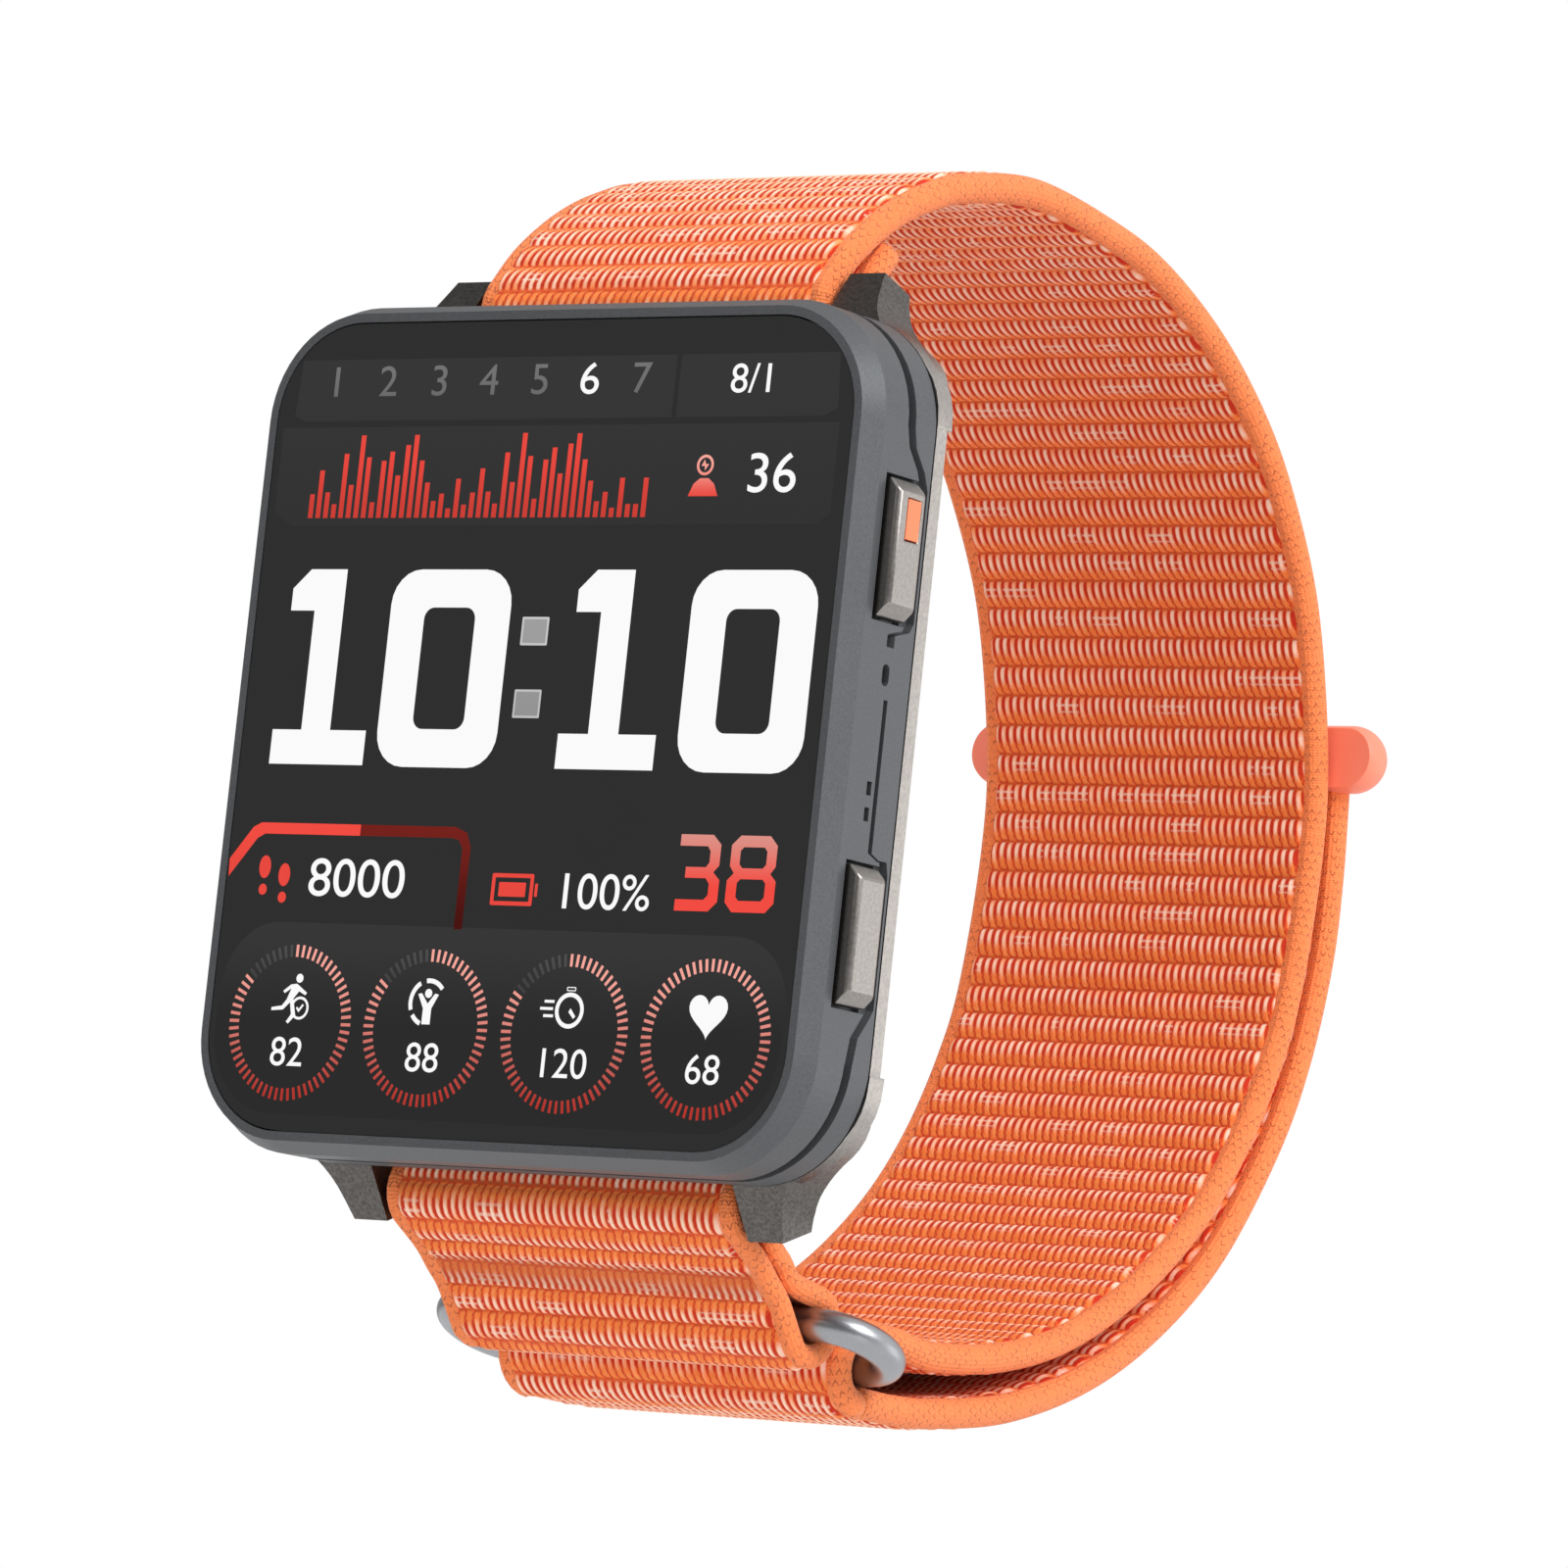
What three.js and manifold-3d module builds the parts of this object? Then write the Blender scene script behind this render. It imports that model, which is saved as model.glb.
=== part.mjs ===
// A square GPS running watch on a two-layer woven strap, in millimetres.
// The display faces -Y, 12 o'clock is +Z and the two buttons are on +X.
// The origin is the middle of the sensor window's flat face, which touches the wrist.
import * as THREE from "three";
import { mergeVertices } from "three/addons/utils/BufferGeometryUtils.js";
import Module from "manifold-3d";

const wasm = await Module();
wasm.setup();

// ---------------------------------------------------------------- driving dimensions
// Case, seen from the front, and its levels along Y, measured from the wrist face at y = 0.
const caseWidth = 41;
const caseHeight = 46;
const caseDepth = 7.9;
const caseCorner = 6.4;
const chamferWidth = 0.57;
const chamferDepth = 1.35;
const lipWidth = 0.58;
const wallThickness = 1.7;
const housingRear = -2.1;
const seam = 0.12; // between the housing and the back plate
const slip = 0.1; // between a lens, panel or frame and the wall round it
const pressGap = 0.05; // between pieces that are glued or pressed together

// Display stack.
const lensThickness = 0.85;
const adhesiveThickness = 0.15;
const adhesiveWidth = 1.0;
const shelfThickness = 0.7;
const panelThickness = 0.75;
const panelMargin = 0.25;

// Shadow groove round the case: it steps back behind each button.
const grooveMiddle = -4.2;
const grooveStep = -2.6;
const grooveHalf = 0.33;
const slitMiddle = -4.0;
const slitHalf = 0.17;
const grooveDepth = 0.5;

// Buttons, one each side of the middle of the +X wall.
const buttonOffset = 10.1;
const buttonLength = 7.3;
const buttonFront = -5.75;
const buttonRear = -3.3;
const buttonRise = 0.85;
const buttonBevel = 0.7;
const buttonEdge = 0.22;
const buttonTravel = 0.35;
const pocketDepth = 0.95;
const pocketClearance = 0.2;
const stemRadius = 0.5;
const sealWire = 0.2;
const clipThickness = 0.25;
const clipRadius = 1.0;
const bossHalf = 1.35;
const bossDepth = 1.6;
const switchLength = 1.6;
const insertLength = 2.1;
const insertWidth = 1.1;
const insertDepth = 0.3;

// Back plate with its four lugs.
const bandThickness = 0.9;
const plateRear = -0.7;
const plateBevel = 1.6;
const lugWidth = 2.3;
const lugReach = 2.75; // past the end of the case
const lugTipY = 2.1;
const bayGap = 0.17; // between the strap's fold and the plate edge between the lugs

// Sensor window, charging contacts and screws, all on the back.
const windowRadius = 9.4;
const windowEdge = 1.2;
const windowDrop = 0.55;
const windowClearance = 0.15;
const sensorBoardDepth = 0.65; // from the back plate to the board's front
const contactCount = 4;
const contactPitch = 1.7;
const contactRadius = 0.55;
const portWidth = 8.4;
const portHeight = 3.2;
const portZ = -15;
const screwInsetX = 3.8;
const screwInsetZ = 4;
const screwHead = 1.1;
const screwHeadHeight = 0.5;
const screwShank = 0.6;
const screwLength = 3;
const screwClearance = 0.12;
const screwBoss = 1.5;

// Spring bars.
const barY = 1.1;
const barReach = 1; // past the end of the case
const barRadius = 0.75;
const barBore = 0.48;
const pinRadius = 0.4;
const pinTip = 1.25; // how far a pin enters its lug
const leverX = 8.6;
const leverTravel = 1.4;
const leverRadius = 0.35;
const leverReach = 2.5;

// Strap.
const strapWidth = 23.6;
const bayWidth = 24.4;
const strapThickness = 1.75;
const shortLayer = 1.4;
const shortMiddle = 2.9;
const foldClearance = 0.14;
const layerGap = 0.3;
const tailReach = 2.35; // from the ring's lower bar to the tail's first point
const seamGap = 0.3;

// Ring that the long strap turns back round, and the moulded tab on the strap's end.
const ringWire = 0.9;
const ringHalfWidth = 15.2;
const ringOffset = [6.3, 5.35]; // from the lower spring bar to the ring's upper bar
const ringTilt = -20.62;
const wrapGap = 0.166; // between the two straps where each turns round the ring
const tabRadius = 1.95;
const tabLength = 28.4;
const tabOffset = [-0.35, 1]; // from the tail's tip to the tab's axis

// The bar height and strap thickness that the lines below are drawn for.
const drawnBarZ = 24;
const drawnThickness = 1.75;

// Middle line of the long strap from the crest to the ring, as (y, z) points.
const strapLine = [
  [1.55, 27.35],
  [4.54, 29.8],
  [7.7, 31.5],
  [11, 32.65],
  [17.5, 33.65],
  [25, 32.85],
  [30.05, 31.6],
  [35.6, 29],
  [40.3, 25.6],
  [43.9, 21.7],
  [47.5, 15.85],
  [49.9, 8],
  [50.4, 2],
  [49.6, -6],
  [48.1, -10.8],
  [45.5, -15.8],
  [42, -20.2],
  [36.9, -24.4],
  [31, -27.6],
  [25, -29.3],
  [19, -29.9],
  [15.5, -29.55],
];
// Middle line of the tail, from the ring to its tip.
const tailPoints = [
  [19.1, -32.95],
  [26.1, -31.95],
  [33.2, -29.6],
  [39.3, -26.1],
  [44.6, -21.4],
  [48.9, -15.1],
  [51.2, -9.8],
  [52.5, -4],
  [52.75, 1],
  [52.45, 6.9],
];

// ---------------------------------------------------------------- worked-out values
const frontY = -caseDepth;
const halfWidth = caseWidth / 2;
const halfHeight = caseHeight / 2;
const lensInset = chamferWidth + lipWidth;
const lensRear = frontY + lensThickness;
const adhesiveFront = lensRear + pressGap;
const shelfFront = adhesiveFront + adhesiveThickness + pressGap;
const shelfRear = shelfFront + shelfThickness;
const windowInset = lensInset + adhesiveWidth;
const panelFront = lensRear + pressGap;
const plateFront = housingRear + seam;
const bandRear = plateFront + bandThickness;
const cavityHalfWidth = halfWidth - wallThickness;
const cavityHalfHeight = halfHeight - wallThickness;
const lugTipX = bayWidth / 2 + lugWidth;
const lugTipZ = halfHeight + lugReach;
const barZ = halfHeight + barReach;
const buttonY = (buttonFront + buttonRear) / 2;
const capBase = halfWidth - pocketDepth + buttonTravel + slip;
const capFace = halfWidth + buttonRise;
const bossInner = cavityHalfWidth - bossDepth;
const clipOuter = bossInner - 2 * slip;
const stemTip = clipOuter - clipThickness - 0.7;
const switchFace = stemTip - buttonTravel - slip;
const bossEdge = halfWidth - screwInsetX - screwBoss;
const frameEdge = bossInner - 0.5;
const boardLeft = 0.3 - bossEdge;
const boardRight = switchFace - switchLength - 0.4;
const foldRadius = barRadius + foldClearance + strapThickness / 2;
const foldOuter = foldRadius + strapThickness / 2;
const bayZ = barZ - Math.sqrt(foldOuter ** 2 - (barY - plateRear) ** 2) - bayGap;
const ringFold = ringWire + foldClearance + strapThickness / 2;
const shortFoldBar = barRadius + foldClearance + shortLayer;
const shortFoldRing = ringWire + foldClearance + shortLayer;
const ringSpan = shortFoldRing + wrapGap + ringFold + strapThickness / 2;
const ringUpper = [barY + ringOffset[0], -barZ - ringOffset[1]];
const ringLower = [
  ringUpper[0] + ringSpan * Math.cos(THREE.MathUtils.degToRad(ringTilt)),
  ringUpper[1] + ringSpan * Math.sin(THREE.MathUtils.degToRad(ringTilt)),
];
const thicker = strapThickness - drawnThickness;

// A drawn (y, z) point moved with the bars at the ends of the case.
function withBars([y, z]) {
  const share = Math.min(Math.max(z / drawnBarZ, -1), 1);
  return [y, z + (barZ - drawnBarZ) * share];
}

// A drawn point of the tail, moved out by what the layer under it gained in thickness.
function overStrap(point) {
  const [y, z] = withBars(point);
  const out = Math.hypot(y - 25, z);
  return [y + ((y - 25) / out) * thicker, z + (z / out) * thicker];
}

const tailStart = [ringLower[0] + tailReach, ringLower[1] - ringFold + 0.065];
const tailLine = [tailStart, ...tailPoints.map(overStrap)];
const tailTip = tailLine[tailLine.length - 1];
const tabAt = [tailTip[0] + tabOffset[0], tailTip[1] + tabOffset[1]];

// ---------------------------------------------------------------- materials
const finish = (color, roughness, metalness) =>
  new THREE.MeshStandardMaterial({ color, roughness, metalness });
const materials = {
  housing: () => finish(0x6f7274, 0.5, 0.35),
  titanium: () => finish(0xb4aaa4, 0.38, 0.95),
  glass: () => finish(0x101112, 0.08, 0),
  adhesive: () => finish(0x1a1a1c, 0.7, 0),
  display: () => finish(0x202020, 0.4, 0),
  alloy: () => finish(0x9a9da0, 0.45, 0.8),
  board: () => finish(0x1e5a3c, 0.6, 0),
  battery: () => finish(0x3a3d42, 0.55, 0.2),
  rubber: () => finish(0x141414, 0.8, 0),
  polymer: () => finish(0x222426, 0.55, 0),
  gold: () => finish(0xd0aa60, 0.3, 1),
  steel: () => finish(0xb9bcc0, 0.28, 1),
  orangeInlay: () => finish(0xf07d50, 0.5, 0),
  fabric: () => finish(0xff8453, 0.9, 0),
  coral: () => finish(0xeb6450, 0.45, 0),
};

// ---------------------------------------------------------------- shape helpers
// A closed three.js geometry as a manifold solid.
function solid(geometry) {
  const bare = geometry.index ? geometry.toNonIndexed() : geometry.clone();
  bare.deleteAttribute("normal");
  bare.deleteAttribute("uv");
  const merged = mergeVertices(bare, 1e-4);
  return new wasm.Manifold(
    new wasm.Mesh({
      numProp: 3,
      vertProperties: merged.attributes.position.array,
      triVerts: new Uint32Array(merged.index.array),
    }),
  );
}

// A manifold solid back as a three.js geometry.
function geometryOf(body) {
  const mesh = body.getMesh();
  const geometry = new THREE.BufferGeometry();
  geometry.setAttribute("position", new THREE.BufferAttribute(mesh.vertProperties, 3));
  geometry.setIndex(new THREE.BufferAttribute(mesh.triVerts, 1));
  geometry.computeVertexNormals();
  return geometry;
}

const join = (first, ...rest) => rest.reduce((sum, next) => sum.add(next), first);
const cut = (first, ...rest) => rest.reduce((left, next) => left.subtract(next), first);

// A rounded rectangle in the XZ plane, inset from the case outline by the given distance.
function caseOutline(inset) {
  return roundedRect(caseWidth - 2 * inset, caseHeight - 2 * inset, caseCorner - inset);
}

function roundedRect(width, height, radius) {
  const x = width / 2 - radius;
  const z = height / 2 - radius;
  const shape = new THREE.Shape();
  shape.absarc(x, z, radius, 0, Math.PI / 2);
  shape.absarc(-x, z, radius, Math.PI / 2, Math.PI);
  shape.absarc(-x, -z, radius, Math.PI, 1.5 * Math.PI);
  shape.absarc(x, -z, radius, 1.5 * Math.PI, 2 * Math.PI);
  return shape;
}

// Extrudes a shape drawn as (x, z) between two levels of y.
function slabY(shape, front, rear, bevel = {}) {
  const settings = { depth: rear - front, bevelEnabled: false, curveSegments: 7, ...bevel };
  const geometry = new THREE.ExtrudeGeometry(shape, settings);
  geometry.rotateX(Math.PI / 2);
  geometry.translate(0, rear, 0);
  return solid(geometry);
}

// Extrudes a shape drawn as (y, z) between two levels of x.
function slabX(shape, left, right, curveSegments = 12) {
  const settings = { depth: right - left, bevelEnabled: false, curveSegments };
  const geometry = new THREE.ExtrudeGeometry(shape, settings);
  const turn = new THREE.Matrix4().makeBasis(
    new THREE.Vector3(0, 1, 0),
    new THREE.Vector3(0, 0, 1),
    new THREE.Vector3(1, 0, 0),
  );
  geometry.applyMatrix4(turn);
  geometry.translate(left, 0, 0);
  return solid(geometry);
}

const polygon = (points) => new THREE.Shape(points.map(([a, b]) => new THREE.Vector2(a, b)));

// A box given by its two ends along each axis.
function boxOf([x0, x1], [y0, y1], [z0, z1]) {
  const geometry = new THREE.BoxGeometry(x1 - x0, y1 - y0, z1 - z0);
  geometry.translate((x0 + x1) / 2, (y0 + y1) / 2, (z0 + z1) / 2);
  return solid(geometry);
}

function rodX(radius, [x0, x1], y, z, sides = 16) {
  const geometry = new THREE.CylinderGeometry(radius, radius, x1 - x0, sides);
  geometry.rotateZ(Math.PI / 2);
  geometry.translate((x0 + x1) / 2, y, z);
  return solid(geometry);
}

function rodY(radius, [y0, y1], x, z, sides = 16) {
  const geometry = new THREE.CylinderGeometry(radius, radius, y1 - y0, sides);
  geometry.translate(x, (y0 + y1) / 2, z);
  return solid(geometry);
}

// A flat picture-frame ring between two inset outlines of the case.
function frameRing(outerInset, innerInset, front, rear) {
  const opening = slabY(caseOutline(innerInset), front - 1, rear + 1);
  return cut(slabY(caseOutline(outerInset), front, rear), opening);
}

const mirrorZ = (body) => body.mirror([0, 0, 1]);

// Points on an arc in the YZ plane, with angles in degrees from +Y towards +Z.
function arcPoints([y, z], radius, from, to, steps) {
  return Array.from({ length: steps + 1 }, (_, i) => {
    const angle = THREE.MathUtils.degToRad(from + ((to - from) * i) / steps);
    return [y + radius * Math.cos(angle), z + radius * Math.sin(angle)];
  });
}

// A smooth line through the given (y, z) points.
function smoothLine(points, steps) {
  const curve = new THREE.SplineCurve(points.map(([y, z]) => new THREE.Vector2(y, z)));
  return curve.getSpacedPoints(steps).map((p) => [p.x, p.y]);
}

// A band of one thickness along a middle line, extruded to the strap's width.
function band(line, thickness, width = strapWidth) {
  const sides = line.map(([y, z], i) => {
    const [y0, z0] = line[Math.max(i - 1, 0)];
    const [y1, z1] = line[Math.min(i + 1, line.length - 1)];
    const length = Math.hypot(y1 - y0, z1 - z0);
    const half = thickness / 2;
    const across = [((z1 - z0) / length) * half, (-(y1 - y0) / length) * half];
    return [
      [y + across[0], z + across[1]],
      [y - across[0], z - across[1]],
    ];
  });
  const outline = [...sides.map((s) => s[0]), ...sides.map((s) => s[1]).reverse()];
  return slabX(polygon(outline), -width / 2, width / 2);
}

// ---------------------------------------------------------------- case housing
// Half the groove on the +X wall: it steps back behind the button at the given height.
function grooveBand(points, half) {
  const front = points.map(([y, z]) => [y - half, z]);
  const rear = points.map(([y, z]) => [y + half, z]).reverse();
  return slabX(polygon([...front, ...rear]), 0, halfWidth + 1);
}

function sideGroove() {
  const upperEnd = buttonOffset - buttonLength / 2 - 1.4;
  const slotStart = upperEnd - 2.75;
  const reach = buttonLength / 2;
  const upper = grooveBand(
    [
      [grooveMiddle, halfHeight + 1],
      [grooveMiddle, buttonOffset + reach + 2.9],
      [grooveMiddle + 0.3, buttonOffset + reach + 1.8],
      [grooveStep - 0.4, buttonOffset + reach + 0.7],
      [grooveStep, buttonOffset + reach - 0.2],
      [grooveStep, buttonOffset - reach + 0.1],
      [grooveStep - 0.3, buttonOffset - reach - 0.4],
      [slitMiddle - 0.1, buttonOffset - reach - 0.75],
      [slitMiddle - 0.1, upperEnd],
    ],
    grooveHalf,
  );
  const slot = grooveBand(
    [
      [slitMiddle, slotStart],
      [slitMiddle, -buttonOffset + reach + 0.75],
      [slitMiddle + 0.9, -buttonOffset + reach + 0.4],
    ],
    slitHalf,
  );
  const lower = grooveBand(
    [
      [grooveStep - 0.2, -buttonOffset + reach + 0.5],
      [grooveStep, -buttonOffset + reach - 0.2],
      [grooveStep, -buttonOffset - reach + 0.1],
      [grooveStep - 0.3, -buttonOffset - reach - 0.4],
      [grooveMiddle + 0.5, -buttonOffset - reach - 1.5],
      [grooveMiddle + 0.25, -buttonOffset - reach - 3],
      [grooveMiddle, -halfHeight - 1],
    ],
    grooveHalf,
  );
  return join(upper, slot, lower);
}

function grooveTool() {
  const far = halfHeight + 1;
  const middle = [grooveMiddle - grooveHalf, grooveMiddle + grooveHalf];
  const straight = boxOf([-halfWidth - 1, 0], middle, [-far, far]);
  const core = slabY(caseOutline(grooveDepth), frontY, 0);
  return cut(join(straight, sideGroove()), core);
}

function buttonPocket(sign) {
  const z = sign * buttonOffset;
  const reach = buttonLength / 2 + pocketClearance;
  const y = [buttonFront - pocketClearance, grooveStep - grooveHalf + pressGap];
  const pocket = boxOf([halfWidth - pocketDepth, halfWidth + 1], y, [z - reach, z + reach]);
  const bore = rodX(stemRadius + 2 * sealWire + 0.1, [bossInner - 1, halfWidth], buttonY, z);
  return join(pocket, bore);
}

function soundPorts() {
  const wall = [cavityHalfWidth - 1, halfWidth + 1];
  const pill = new THREE.Shape();
  pill.absarc(grooveMiddle - 0.05, 3.85, 0.3, 0, Math.PI);
  pill.absarc(grooveMiddle - 0.05, 3.3, 0.3, Math.PI, 2 * Math.PI);
  const vents = [-2.4, -3.75].map((z) => boxOf(wall, [-4.85, -4.45], [z - 0.36, z + 0.36]));
  const slots = [3, 1, -1, -3].map((z) =>
    boxOf([-halfWidth - 1, 1 - cavityHalfWidth], [-5.4, -4.9], [z - 0.6, z + 0.6]),
  );
  return join(slabX(pill, ...wall, 5), ...vents, ...slots);
}

const screwPlaces = [1, -1].flatMap((sx) =>
  [1, -1].map((sz) => [sx * (halfWidth - screwInsetX), sz * (halfHeight - screwInsetZ)]),
);

function caseHousing() {
  const face = slabY(caseOutline(chamferWidth), frontY + chamferDepth, 3, {
    bevelEnabled: true,
    bevelThickness: chamferDepth,
    bevelSize: chamferWidth,
    bevelSegments: 1,
  });
  const outer = face.intersect(slabY(caseOutline(0), frontY, housingRear));
  const lensPocket = slabY(caseOutline(lensInset - slip), frontY - 1, shelfFront);
  const opening = slabY(caseOutline(windowInset), frontY, shelfRear + 1);
  const cavity = slabY(caseOutline(wallThickness), shelfRear, housingRear + 1);
  const bosses = screwPlaces.map(([x, z]) => rodY(screwBoss, [shelfRear + 0.8, housingRear], x, z));
  const stemBosses = [1, -1].map((sign) => {
    const z = sign * buttonOffset;
    const y = [buttonY - bossHalf, buttonY + bossHalf];
    return boxOf([bossInner, cavityHalfWidth + 0.5], y, [z - bossHalf, z + bossHalf]);
  });
  const inside = slabY(caseOutline(0.5), frontY, 0);
  const fittings = join(...bosses, ...stemBosses).intersect(inside);
  const screwHoles = screwPlaces.map(([x, z]) =>
    rodY(screwShank + screwClearance, [housingRear - screwLength + 0.3, housingRear + 1], x, z),
  );
  const gasketGroove = frameRing(0.65, 1.25, housingRear - 0.5, housingRear + 1);
  const shell = join(cut(outer, lensPocket, opening, cavity), fittings);
  const cuts = [gasketGroove, grooveTool(), buttonPocket(1), buttonPocket(-1), soundPorts()];
  return cut(shell, ...screwHoles, ...cuts);
}

// ---------------------------------------------------------------- back plate and lugs
// Plan outline of one lug, on +X and +Z, as (x, z) points: it flares into the case corner.
function lugPlan() {
  const shape = new THREE.Shape();
  const inner = bayWidth / 2;
  shape.moveTo(inner, halfHeight - 6);
  shape.lineTo(halfWidth, halfHeight - 6);
  shape.lineTo(halfWidth, halfHeight - caseCorner + 0.6);
  const flare = (share) => lugTipX + share * (halfWidth - lugTipX);
  const [z0, z1, z2, z3] = [3.4, 2.4, 1.5, 0.5].map((drop) => halfHeight - drop);
  shape.bezierCurveTo(halfWidth, z0, flare(0.783), z1, flare(0.517), z2);
  shape.bezierCurveTo(flare(0.267), z3, flare(0.117), halfHeight + 0.3, flare(0.05), lugTipZ - 1);
  shape.lineTo(lugTipX, lugTipZ);
  shape.lineTo(inner, lugTipZ);
  return shape;
}

// Side profile of a lug as (y, z) points.
function lugProfile() {
  return polygon([
    [plateFront, halfHeight - 7],
    [plateFront, halfHeight - 0.3],
    [0.1, lugTipZ],
    [lugTipY, lugTipZ - 0.85],
    [lugTipY - 0.35, lugTipZ - 1.85],
    [lugTipY - 1, lugTipZ - 3.15],
    [lugTipY - 1.7, lugTipZ - 4.35],
    [lugTipY - 2.4, lugTipZ - 5.55],
    [plateRear, lugTipZ - 6.3],
    [plateRear, halfHeight - 7],
  ]);
}

function lugAt(signX, signZ) {
  const shape = lugPlan();
  const drawn = slabX(lugProfile(), 0, halfWidth + 1).intersect(slabY(shape, -4, 4));
  const sideways = signX > 0 ? drawn : drawn.mirror([1, 0, 0]);
  return signZ > 0 ? sideways : mirrorZ(sideways);
}

function backPlate() {
  const bevelled = slabY(caseOutline(plateBevel), -6, bandRear, {
    bevelEnabled: true,
    bevelThickness: plateRear - bandRear,
    bevelSize: plateBevel,
    bevelSegments: 2,
  });
  const plate = bevelled.intersect(slabY(caseOutline(0), plateFront, 1));
  const lugs = [1, -1].flatMap((sx) => [1, -1].map((sz) => lugAt(sx, sz)));
  const bays = [1, -1].map((sz) => {
    const z = [Math.min(sz * bayZ, sz * 30), Math.max(sz * bayZ, sz * 30)];
    return boxOf([-bayWidth / 2, bayWidth / 2], [-6, 6], z);
  });
  const sensorHole = rodY(windowRadius + windowClearance, [-4, 2], 0, 0, 48);
  const port = [portWidth / 2 + windowClearance, portHeight / 2 + windowClearance];
  const portHole = boxOf([-port[0], port[0]], [-4, 2], [portZ - port[1], portZ + port[1]]);
  const screwHoles = screwPlaces.flatMap(([x, z]) => [
    rodY(screwShank + screwClearance, [-4, 2], x, z),
    rodY(screwHead + screwClearance, [plateRear - screwHeadHeight, 2], x, z, 20),
  ]);
  const reach = bayWidth / 2 + pinTip + 0.2;
  const pinHoles = [1, -1].map((sz) => rodX(pinRadius + 0.1, [-reach, reach], barY, sz * barZ, 12));
  return cut(join(plate, ...lugs), ...bays, sensorHole, portHole, ...screwHoles, ...pinHoles);
}

function sensorWindow() {
  const inner = plateFront + 0.15;
  const profile = [
    [0, inner],
    [windowRadius, inner],
    [windowRadius, -windowDrop],
    [windowRadius - windowEdge * 0.35, -windowDrop * 0.4],
    [windowRadius - windowEdge, 0],
    [0, 0],
  ];
  const points = profile.map(([r, y]) => new THREE.Vector2(r, y));
  return solid(new THREE.LatheGeometry(points, 48));
}

// ---------------------------------------------------------------- inside the case
function mainBoard() {
  const top = cavityHalfHeight - 2.1;
  const bottom = 3.2;
  const shape = roundedRect(boardRight - boardLeft, top - bottom, 1);
  const board = slabY(shape, shelfRear + 0.95, shelfRear + 1.75);
  return board.translate([(boardLeft + boardRight) / 2, 0, (top + bottom) / 2]);
}

function boardShield() {
  const y = [shelfRear + 1.8, housingRear - 1.1];
  return boxOf([boardLeft + 5.9, boardRight - 4.6], y, [5, 17]);
}

function battery() {
  const left = boardLeft - 0.1;
  const top = 2.6;
  const bottom = 2.3 - cavityHalfHeight;
  const shape = roundedRect(boardRight - left, top - bottom, 2);
  const cell = slabY(shape, shelfRear + 0.95, housingRear - 0.9);
  return cell.translate([(left + boardRight) / 2, 0, (top + bottom) / 2]);
}

function sensorBoard() {
  return rodY(windowRadius - 0.4, [housingRear - sensorBoardDepth, housingRear - 0.05], 0, 0, 32);
}

function midFrame() {
  const shape = roundedRect(2 * frameEdge, 2 * (cavityHalfHeight - 0.4), 3.4);
  const frame = slabY(shape, shelfRear + 0.1, shelfRear + 0.6);
  const cableSlots = [-1, 0, 1].map((side) => {
    const x = side * (frameEdge - 4.7);
    return boxOf([x - 3, x + 3], [frontY, 0], [2.7, 3.1]);
  });
  return cut(frame, ...cableSlots);
}

// ---------------------------------------------------------------- buttons
function buttonCap(sign) {
  const z = sign * buttonOffset;
  const half = buttonLength / 2;
  const shoulder = capFace - buttonBevel;
  const length = [
    [capBase, z - half],
    [capBase, z + half],
    [shoulder, z + half],
    [capFace, z + half - buttonBevel],
    [capFace, z - half + buttonBevel],
    [shoulder, z - half],
  ];
  const across = [
    [capBase, buttonFront],
    [capBase, buttonRear],
    [capFace - buttonEdge, buttonRear],
    [capFace, buttonRear - buttonEdge],
    [capFace, buttonFront + buttonEdge],
    [capFace - buttonEdge, buttonFront],
  ];
  const plan = slabY(polygon(length), buttonFront - 1, buttonRear + 1);
  const depth = halfHeight;
  const settings = { depth: 2 * depth, bevelEnabled: false };
  const profile = new THREE.ExtrudeGeometry(polygon(across), settings);
  profile.translate(0, 0, -depth);
  const cap = plan.intersect(solid(profile));
  const socket = rodX(stemRadius + pressGap, [capBase - 1, capBase + 0.75], buttonY, z, 12);
  return cut(cap, socket);
}

// The inlay sits in the upper end of the upper button's face.
const insertTop = buttonOffset + buttonLength / 2 - buttonBevel - 0.35;

function insertBox(grow) {
  const y = buttonY + 0.12;
  return boxOf(
    [capFace - insertDepth - grow, capFace + 0.02 + 2 * grow],
    [y - insertWidth / 2 - grow, y + insertWidth / 2 + grow],
    [insertTop - insertLength - grow, insertTop + grow],
  );
}

function buttonStem(sign) {
  return rodX(stemRadius, [stemTip, capBase + 0.7], buttonY, sign * buttonOffset, 12);
}

function stemSeal(sign) {
  const major = stemRadius + 0.03 + sealWire;
  const geometry = new THREE.TorusGeometry(major, sealWire, 8, 18);
  geometry.rotateY(Math.PI / 2);
  geometry.translate(cavityHalfWidth - 0.1, buttonY, sign * buttonOffset);
  return solid(geometry);
}

// The clip's mouth is wide enough to push over the stem from behind.
function stemClip(sign) {
  const z = sign * buttonOffset;
  const x = [clipOuter - clipThickness, clipOuter];
  const disc = rodX(clipRadius, x, buttonY, z, 18);
  const bore = rodX(stemRadius + pressGap, [x[0] - 1, x[1] + 1], buttonY, z, 12);
  const mouth = [z - stemRadius * 0.8, z + stemRadius * 0.8];
  return cut(disc, bore, boxOf([x[0] - 1, x[1] + 1], [buttonY, buttonY + 2], mouth));
}

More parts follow.
